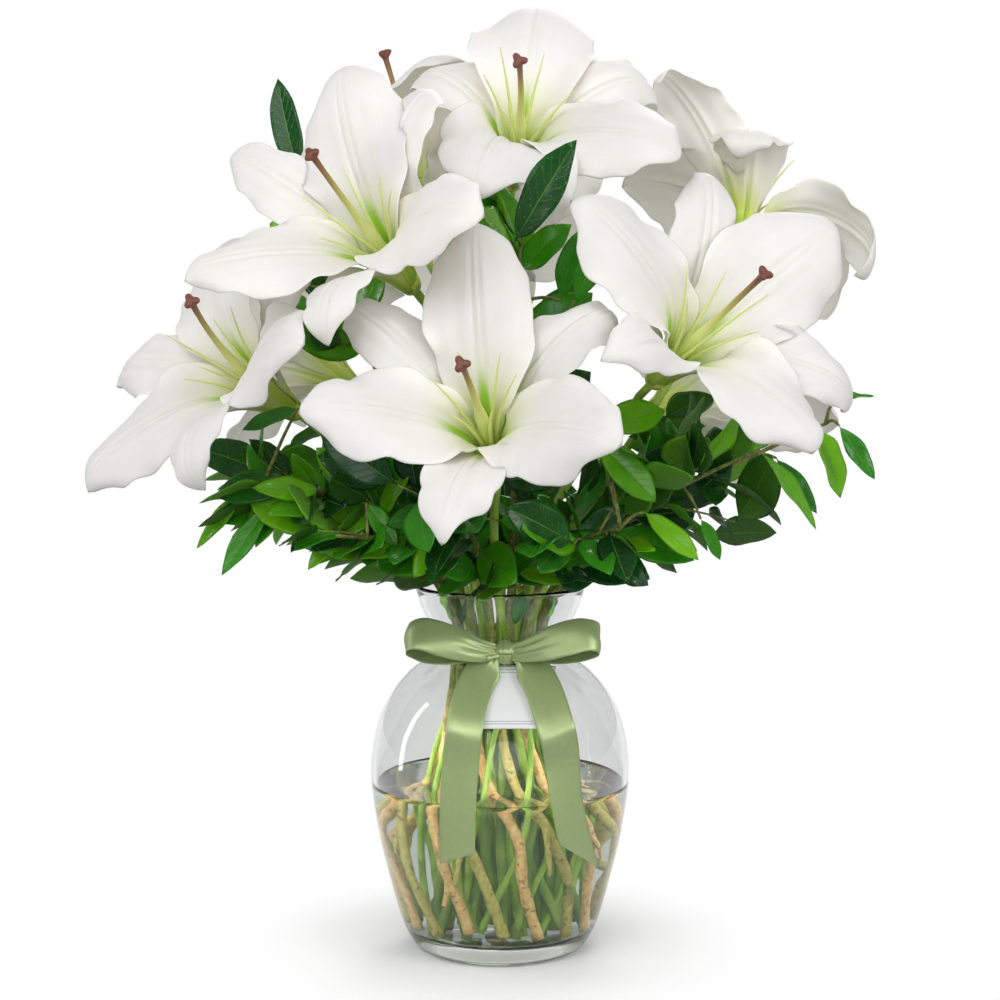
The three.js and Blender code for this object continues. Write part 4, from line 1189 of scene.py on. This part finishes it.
def addMarked(bundle, place, line):
    for stem, root, tip, width, facing, tone in markedLeaves:
        if stem != place:
            continue
        root, tip = vec(*root), vec(*tip)
        near = line[np.argmin(np.linalg.norm(line - root, axis=1))]
        ahead = unit(tip - root)
        across = unit(np.cross(ahead, vec(*facing)))
        length = float(np.linalg.norm(tip - root))
        leaf = {
            "root": root - ahead * 0.04 * length, "ahead": ahead, "normal": np.cross(across, ahead),
            "length": 1.06 * length, "width": width, "droop": 0.1, "fold": 0.15,
        }
        bundle.add(leafBlade(leaf, tone, tone))
        twigLine = bow(near, (near + root) / 2 + vec(0, 0, 5), root, 8)
        bundle.add(rod(twigLine, np.linspace(1.2, 0.8, len(twigLine)), 6), paint=1)


# a woody stem with knots, thick at its foot
def addWoody(bundle, lower, upper, peeled, draw):
    line = np.vstack([lower[:-1], upper])
    at = np.arange(len(line))
    radii = stems["woody"] * np.interp(at, [0, len(lower) - 1, len(line) - 1], [1.15, 0.95, 0.36])
    knots = 1 + 0.15 * np.cos(at * np.pi / 6) ** 8 * (at < len(lower)) + 0.06 * np.sin(at * (0.9 + draw()))
    bundle.add(rod(line, radii * knots, 12, tone=peeled), paint=1)
    return line


# a cut side branch under the water
def addBranch(bundle, lower, peeled, draw):
    start = lower[9 + int(14 * draw())]
    way = unit(vec(start[0], start[1], 0) * 0.02 + vec(draw() - 0.5, draw() - 0.5, -1.1 - draw()))
    end = start + way * (16 + 22 * draw())
    room = insideRadius(max(end[2], 20)) - stems["offGlass"]
    end = end * vec(*[min(1, room / math.hypot(end[0], end[1]))] * 2, 1)
    end[2] = max(end[2], vase["floor"] + 3)
    branch = bow(start, (start + end) / 2 + vec(draw() - 0.5, draw() - 0.5, 0) * 8, end, 8)
    bundle.add(rod(branch, np.linspace(1.9, 1.5, len(branch)), 10, tone=peeled), paint=1)


# a thin green stem across the others, and two in the middle of the bunch that are darkened with painted shade
def addGreenStems(bundle, place, via, draw):
    low = vase["floor"] + 2
    _, count, _, _, start = stems["rings"][2]
    angle, twist = math.radians(start + 360 * (place + 0.5) / count), -math.radians(50 + 50 * draw())
    rows = [(22 + 22 * draw(), 1, low + 14 * draw()), (38 + 14 * draw(), 0.5, 100), (19, 0, stems["neck"])]
    spots = spiral(rows, angle, twist)
    upper = bow(spots[-1], spots[-1] * vec(1.25, 1.25, 1.14), via, 8)
    thin = np.vstack([waterLine(spots, draw, 2.0)[:-1], upper])
    bundle.add(rod(thin, np.linspace(2.2, 1.3, len(thin)), 10), paint=2)
    for _ in range(2):
        angle, twist = 2 * math.pi * draw(), 2.4 * (draw() - 0.5)
        rows = [(10 + 32 * draw(), 1, low + 10 * draw()), (8 + 30 * draw(), 0.5, 96)]
        rows.append((19 * draw(), 0, stems["neck"]))
        dark = waterLine(spiral(rows, angle, twist), draw, 2.0)
        # their third tone paints shade on them
        bundle.add(rod(dark, np.linspace(2.9, 2.2, len(dark)), 10, tone=(0.5, 0, 0.55)), paint=2)


# what shows of the stems in the vase
def addWaterStems(bundle, place, spots, via, head, draw):
    peeled = (1.0 if place % 2 == 0 else 0.1, 0, 0)
    lower = waterLine(spots, draw, 3.6)
    line = addWoody(bundle, lower, bow(spots[-1], via, head, 26), peeled, draw)
    addBranch(bundle, lower, peeled, draw)
    addGreenStems(bundle, place, via, draw)
    return line


# of the ways that a leaf may lie, the one whose tip is on the CAD part. Its leaves are a little slimmer here.
def addLeaves(bundle, place, twig, node, draw):
    tree = treeOf(node)
    found = 0
    for ways in leafWays(place, twig):
        near = [tree.find(Vector(onLeaf(way, 1) * mm))[2] for way in ways]
        best = int(np.argmin(near))
        tone, wave = draw(), draw()
        if near[best] < mm:
            found += 1
            leaf = ways[best]
            share = 1 if leaf["last"] else greens["slim"]
            leaf = {**leaf, "length": leaf["length"] * share, "width": leaf["width"] * share}
            bundle.add(leafBlade(leaf, 0.1 if leaf["last"] else tone, wave))
    return found


def makeLeafyStem(place, twig):
    spots, via, head = twigBow(place, twig)
    number = "%02d" % (place + 1)
    seeds = greens["seeds"]
    draw = draws(seeds["looks"] + place)
    bundle = Bundle()
    line = addWaterStems(bundle, place, spots, via, head, draws(seeds["water"] + place))
    found = addLeaves(bundle, place, twig, "greens_" + number, draw)
    addShoots(bundle, twig, spots[-1], via, head, draw)
    addMarked(bundle, place, line)
    looks = [paints["leaf"], paints["woody"], paints["stem"]]
    bundle.piece("leafyStem." + number, looks, ["greens_" + number])
    return found


counts = [makeLeafyStem(place, twig) for place, twig in enumerate(greens["stems"])]
print("leafy stems made, leaves found on the CAD part:", counts)

# ribbon: a band, a knot, two loops and two tails
ribbon = {
    "width": 22, "thickness": 0.35, "knot": (3, -46.5, 190), "band": (181.8, 193.2), "across": 12,
    "repeat": 300, "wrap": {"deep": 6.6, "high": 5.6, "askew": 0.25, "width": 10},
}
card = {
    "width": 52, "height": 43, "thickness": 0.5, "bow": 0.5, "front": 0.8, "middle": 165.5, "lean": 42,
    "shift": 7, "gap": 0.7,
}


# a strap of cloth along a dense line of middles, with its facing and width there. Where it is narrower than
# the ribbon it is pleated. Slant shears its far end, which is cut at an angle, and sway rolls it to and fro.
def strap(middles, facings, widths, crown=0.0, pleat=1.5, slant=0.0, ripple=0.0, sway=0.0):
    middles, facing = np.asarray(middles, float), np.asarray(facings, float)
    width = np.asarray(widths, float)[:, None]
    ahead = unit(np.gradient(middles, axis=0))
    wide = unit(np.cross(ahead, facing))
    face = np.cross(wide, ahead)
    share = np.linspace(0, 1, len(middles))[:, None]
    turn = sway * np.sin(2 * np.pi * 1.3 * share + 0.8) * np.sin(np.pi * share)
    wide, face = np.cos(turn) * wide + np.sin(turn) * face, np.cos(turn) * face - np.sin(turn) * wide
    q = np.linspace(-1, 1, ribbon["across"] + 1)[None, :]
    gather = np.clip(1 - width / ribbon["width"], 0, 1)
    fold = crown * (1 - q * q) + gather * pleat * np.cos(3.5 * np.pi * q + 0.6)
    fold = fold + ripple * (1 - gather) * np.sin(2.2 * q + 9 * share) * np.sin(7 * share + q)
    shear = slant * q * np.clip((share - 0.75) / 0.25, 0, 1)
    wide, face, ahead = wide[:, None, :], face[:, None, :], ahead[:, None, :]
    point = middles[:, None, :] + wide * (width / 2 * q)[..., None] + face * fold[..., None]
    point = point + ahead * shear[..., None]
    offset = face * ribbon["thickness"] / 2
    length = reached(middles)
    return board(point + offset, point - offset, places(q, length[:, None] / ribbon["repeat"])), length[-1]


def calm(rows, rounds):  # evens out a line and keeps its ends
    for _ in range(rounds):
        rows = np.vstack([rows[:1], (rows[:-2] + 2 * rows[1:-1] + rows[2:]) / 4, rows[-1:]])
    return rows


# a loop of the bow: x, y, z, width, and how far the ribbon leans back there, in degrees
loopRoute = [
    (4, -50, 190.5, 9, 10), (14, -55.5, 192.5, 14, 16), (26, -60, 197, 20, 22), (38, -62, 201, 22, 30),
    (47, -61.5, 203.2, 22, 40), (53.5, -58.5, 202, 22, 50), (56, -54, 198.8, 22, 54),
    (53.5, -50, 195.5, 22, 52), (46, -47.5, 193, 22, 46), (34, -46.5, 191.5, 20, 38),
    (19, -46, 191, 15, 25), (4, -45, 190, 9, 10),
]
# the tails by height and x, how far they keep off the glass and the card, how far forward they are at the
# knot and at most, and from which height they lie on the card, go into the knot and get narrow
tails = {
    "left": [
        (190, -3), (183, -8), (174, -14), (163, -18.5), (149, -21), (139, -22), (122, -23.5), (98, -25),
        (72, -25),
    ],
    "right": [
        (190, 9), (184, 16), (176, 23), (165, 28), (149, 33), (139, 35.5), (122, 37), (104, 39), (88, 42.5),
        (70, 47),
    ],
    "slants": {"left": 5.0, "right": -16.0}, "offGlass": 1.9, "offCard": 4.2, "atKnot": 50, "forward": 81,
    "card": (126, 22), "knot": (176, 12), "narrow": (180, 9), "narrower": 12, "belly": 80,
}


# half of the bow: out from the knot, round the end and back behind, lower. Hand is -1 left and 1 right.
def bowLoop(hand):
    middles = through([(ribbon["knot"][0] * 0.6 + hand * x, y, z) for x, y, z, _, _ in loopRoute], 8)
    shares, stops = np.linspace(0, 1, len(middles)), np.linspace(0, 1, len(loopRoute))
    widths = np.interp(shares, stops, [row[3] for row in loopRoute])
    leans = np.radians(np.interp(shares, stops, [row[4] for row in loopRoute]))
    upward = np.column_stack([0 * leans, np.sin(leans), np.cos(leans)])
    facings = calm(np.cross(upward, np.gradient(calm(middles, 6), axis=0)), 6)
    return strap(middles, facings, widths, crown=-1.6 * hand, pleat=1.9, ripple=0.9)


# how far forward the card's face is at a height
def cardReach(z):
    lean = math.radians(card["lean"])
    back = outerRadius(card["middle"]) + card["gap"]
    return back + card["front"] / math.cos(lean) + (card["middle"] - z) * math.tan(lean)


# 0 below a height and 1 from so far above it, smooth between
def above(z, heights):
    return float(smooth((z - heights[0]) / heights[1]))


# a tail of the bow: over the card, then down the belly of the vase
def bowTail(side):
    route = np.array(tails[side], float)
    lean = math.radians(card["lean"])
    low = card["middle"] - card["height"] / 2 * math.cos(lean)
    middles, facings, widths = [], [], []
    for z, x, _ in through(np.column_stack([route, route[:, 0]]), 8):
        belly = math.sqrt((outerRadius(z) + tails["offGlass"]) ** 2 - x * x)
        blend, high = above(z, tails["card"]), above(z, tails["knot"])
        overCard = min(cardReach(max(z, low)) + tails["offCard"], tails["forward"])
        y = max(belly, overCard * blend + belly * (1 - blend) if blend > 0 else 0)
        turn = math.asin(x / tails["belly"]) * (1 - blend)
        middles.append((x, -(y * (1 - high) + tails["atKnot"] * high), z))
        facings.append((math.sin(turn), -math.cos(turn), blend * math.tan(lean)))
        widths.append(ribbon["width"] - tails["narrower"] * above(z, tails["narrow"]))
    middles, facings = calm(np.array(middles), 26), calm(np.array(facings), 90)
    slant = tails["slants"][side]
    return strap(middles, facings, widths, crown=0.9, pleat=1.2, slant=slant, ripple=0.35, sway=0.12)


# a short wrap over the middle of the bow
def knotWrap(knot):
    wrap = ribbon["wrap"]
    turn = np.linspace(0, 2 * np.pi, 41)
    sine, cosine = [math.sin(a) for a in turn], [math.cos(a) for a in turn]
    ring = [knot + vec(wrap["askew"] * b, -wrap["deep"] * c, wrap["high"] * b) for b, c in zip(sine, cosine)]
    facings = [(0, -c, b) for b, c in zip(sine, cosine)]
    return strap(ring, facings, wrap["width"] + 1.2 * np.sin(3 * turn), crown=1.8, pleat=0.9)


# a short end that stands out of the knot
def knotEnd(knot):
    line = bow(knot + vec(-2, -4.5, 0), knot + vec(-7, -7.5, 0.5), knot + vec(-12.5, -7.5, -0.5), 12)
    widths = np.linspace(5, 8, len(line))
    return strap(line, [(0, -0.6, 0.8)] * len(line), widths, crown=0.8, pleat=0.8, slant=2.0)


# the band round the neck, gathered into soft folds
def neckBand():
    inner = [(outerRadius(z) + 0.6 + 0.35 * math.cos(1.6 * z), z) for z in np.linspace(*ribbon["band"], 25)]
    outer = [(r + 0.7, z) for r, z in inner[::-1]]
    return turned([*inner, *outer, inner[0]], 96)


def makeRibbon():
    knot = vec(*ribbon["knot"])
    straps = [bowLoop(-1), bowLoop(1), bowTail("left"), bowTail("right"), knotWrap(knot), knotEnd(knot)]
    bundle = Bundle()
    for shape, _ in straps:
        bundle.add(shape)
    bundle.add(neckBand())
    total = sum(length for _, length in straps) + 2 * math.pi * (outerRadius(sum(ribbon["band"]) / 2) + 1)
    made = bundle.piece("satinBow", [paints["ribbon"]], ["ribbon_bow"])
    print("ribbon length in mm:", round(total))


def makeCard():
    lean = math.radians(card["lean"])
    across, along = np.meshgrid(np.linspace(0, 1, 13), np.linspace(0, 1, 13))
    x, z = card["width"] * (across - 0.5), card["height"] * (along - 0.5)
    spot = vec(card["shift"], -outerRadius(card["middle"]) - card["gap"], card["middle"])

    def face(depth):  # a card bows forward a little at its middle
        y = -depth - card["bow"] * (1 - (x / (card["width"] / 2)) ** 2)
        forward, upward = y * math.cos(lean) + z * math.sin(lean), z * math.cos(lean) - y * math.sin(lean)
        return spot + np.stack([x, forward, upward], -1)

    bundle = Bundle()
    bundle.add(board(face(card["thickness"]), face(0), np.stack([across, along], -1).reshape(-1, 2)))
    bundle.piece("giftCard", [paints["card"]], ["card"])


makeRibbon()
makeCard()
print("ribbon and card made")

# the floor's radius and the ring where it goes over into white, in metres, and the world's strengths
stage = {
    "floor": 30.0, "under": -0.0004, "fade": (0.055, 0.17), "glow": 0.3, "world": 0.42, "glossy": 0.22,
    "inside": 8.0,
}
lights = {  # place, aim, size, power, and a height where it isn't round
    "key": ((-0.9, -1.5, 1.4), (0, 0, 0.35), 1.5, 15.0),
    "fill": ((1.4, -1.0, 0.9), (0, 0, 0.3), 1.0, 10.0),
    "back": ((0.3, 1.4, 1.3), (0, 0, 0.35), 0.9, 9.0),
    "front": ((0.15, -1.9, 0.6), (0, 0, 0.3), 1.0, 6.0),
    "strip": ((-1.2, 0.15, 0.45), (0, 0, 0.2), 0.07, 3.0, 1.1),
    "window": ((0.1, -0.95, 1.35), (0, 0, 0.15), 0.26, 2.6, 0.12),
}
view = {"place": (0, -1.4, 0.42), "pitch": 5.88, "lens": 83.27, "sensor": 36}


def makeStage():
    bpy.ops.mesh.primitive_circle_add(vertices=96, radius=stage["floor"], fill_type="NGON")
    floor = bpy.context.object
    floor.location.z = stage["under"]
    floor.name = "floor"
    paint = Paint("paleFloor")
    at = paint.node("ShaderNodeNewGeometry", {}, {}, "Position")
    x, y = paint.part(at, 0), paint.part(at, 1)
    far = paint.between((x * x + y * y) ** 0.5, *stage["fade"])
    seen = paint.ray("Is Camera Ray") + paint.ray("Is Singular Ray")  # straight on, or through clear glass
    diffuse = paint.node("ShaderNodeBsdfDiffuse", {}, {0: (0.97, 0.97, 0.97)})
    glow = paint.node("ShaderNodeEmission", {}, {0: (1, 1, 1), 1: stage["glow"] + seen * (1 - stage["glow"])})
    shown = paint.node("ShaderNodeMixShader", {}, {0: far, 1: diffuse, 2: glow})
    paint.node("ShaderNodeOutputMaterial", {}, {0: shown})
    floor.data.materials.append(paint.made)


def makeLight(name, place, aim, size, power, tall=0.0):
    light = bpy.data.lights.new(name, "AREA")
    light.shape, light.size, light.energy = "DISK", size, power
    if tall:
        light.shape, light.size_y = "RECTANGLE", tall
    lamp = bpy.data.objects.new(name, light)
    lamp.location = place
    lamp.rotation_euler = (Vector(aim) - Vector(place)).to_track_quat("-Z", "Y").to_euler()
    bpy.context.scene.collection.objects.link(lamp)


# a white world for what looks straight at it, and a dimmer one for the light that it gives
def makeWorld():
    sky = Paint("studio", bpy.data.worlds)
    bpy.context.scene.world = sky.made

    def choose(about, low, high):  # low where the ray's count is 0, and high from 1
        return sky.node("ShaderNodeMix", {}, {0: sky.ray(about), 2: low, 3: high})

    # what lies in the vase gets its light through the glass, and the water's surface mirrors a white wall
    inside = choose("Diffuse Depth", 1.0, stage["inside"])
    mirrored = choose("Transmission Depth", stage["glossy"], 1.0)
    strength = choose("Is Glossy Ray", stage["world"], mirrored)
    strength = choose("Is Camera Ray", strength, 1.0)
    strength = choose("Is Transmission Ray", strength, inside)
    light = sky.node("ShaderNodeBackground", {}, {0: (1, 1, 1), 1: strength})
    sky.node("ShaderNodeOutputWorld", {}, {0: light})


def makeCamera():
    data = bpy.data.cameras.new("camera")
    data.lens, data.sensor_width = view["lens"], view["sensor"]
    camera = bpy.data.objects.new("camera", data)
    camera.location = view["place"]
    camera.rotation_euler = (math.radians(90 - view["pitch"]), 0, 0)
    bpy.context.scene.collection.objects.link(camera)
    bpy.context.scene.camera = camera


makeStage()
for name, light in lights.items():
    makeLight(name, *light)
makeWorld()
makeCamera()
bpy.context.scene.view_settings.view_transform = "Standard"
print("stage, lights and camera made")
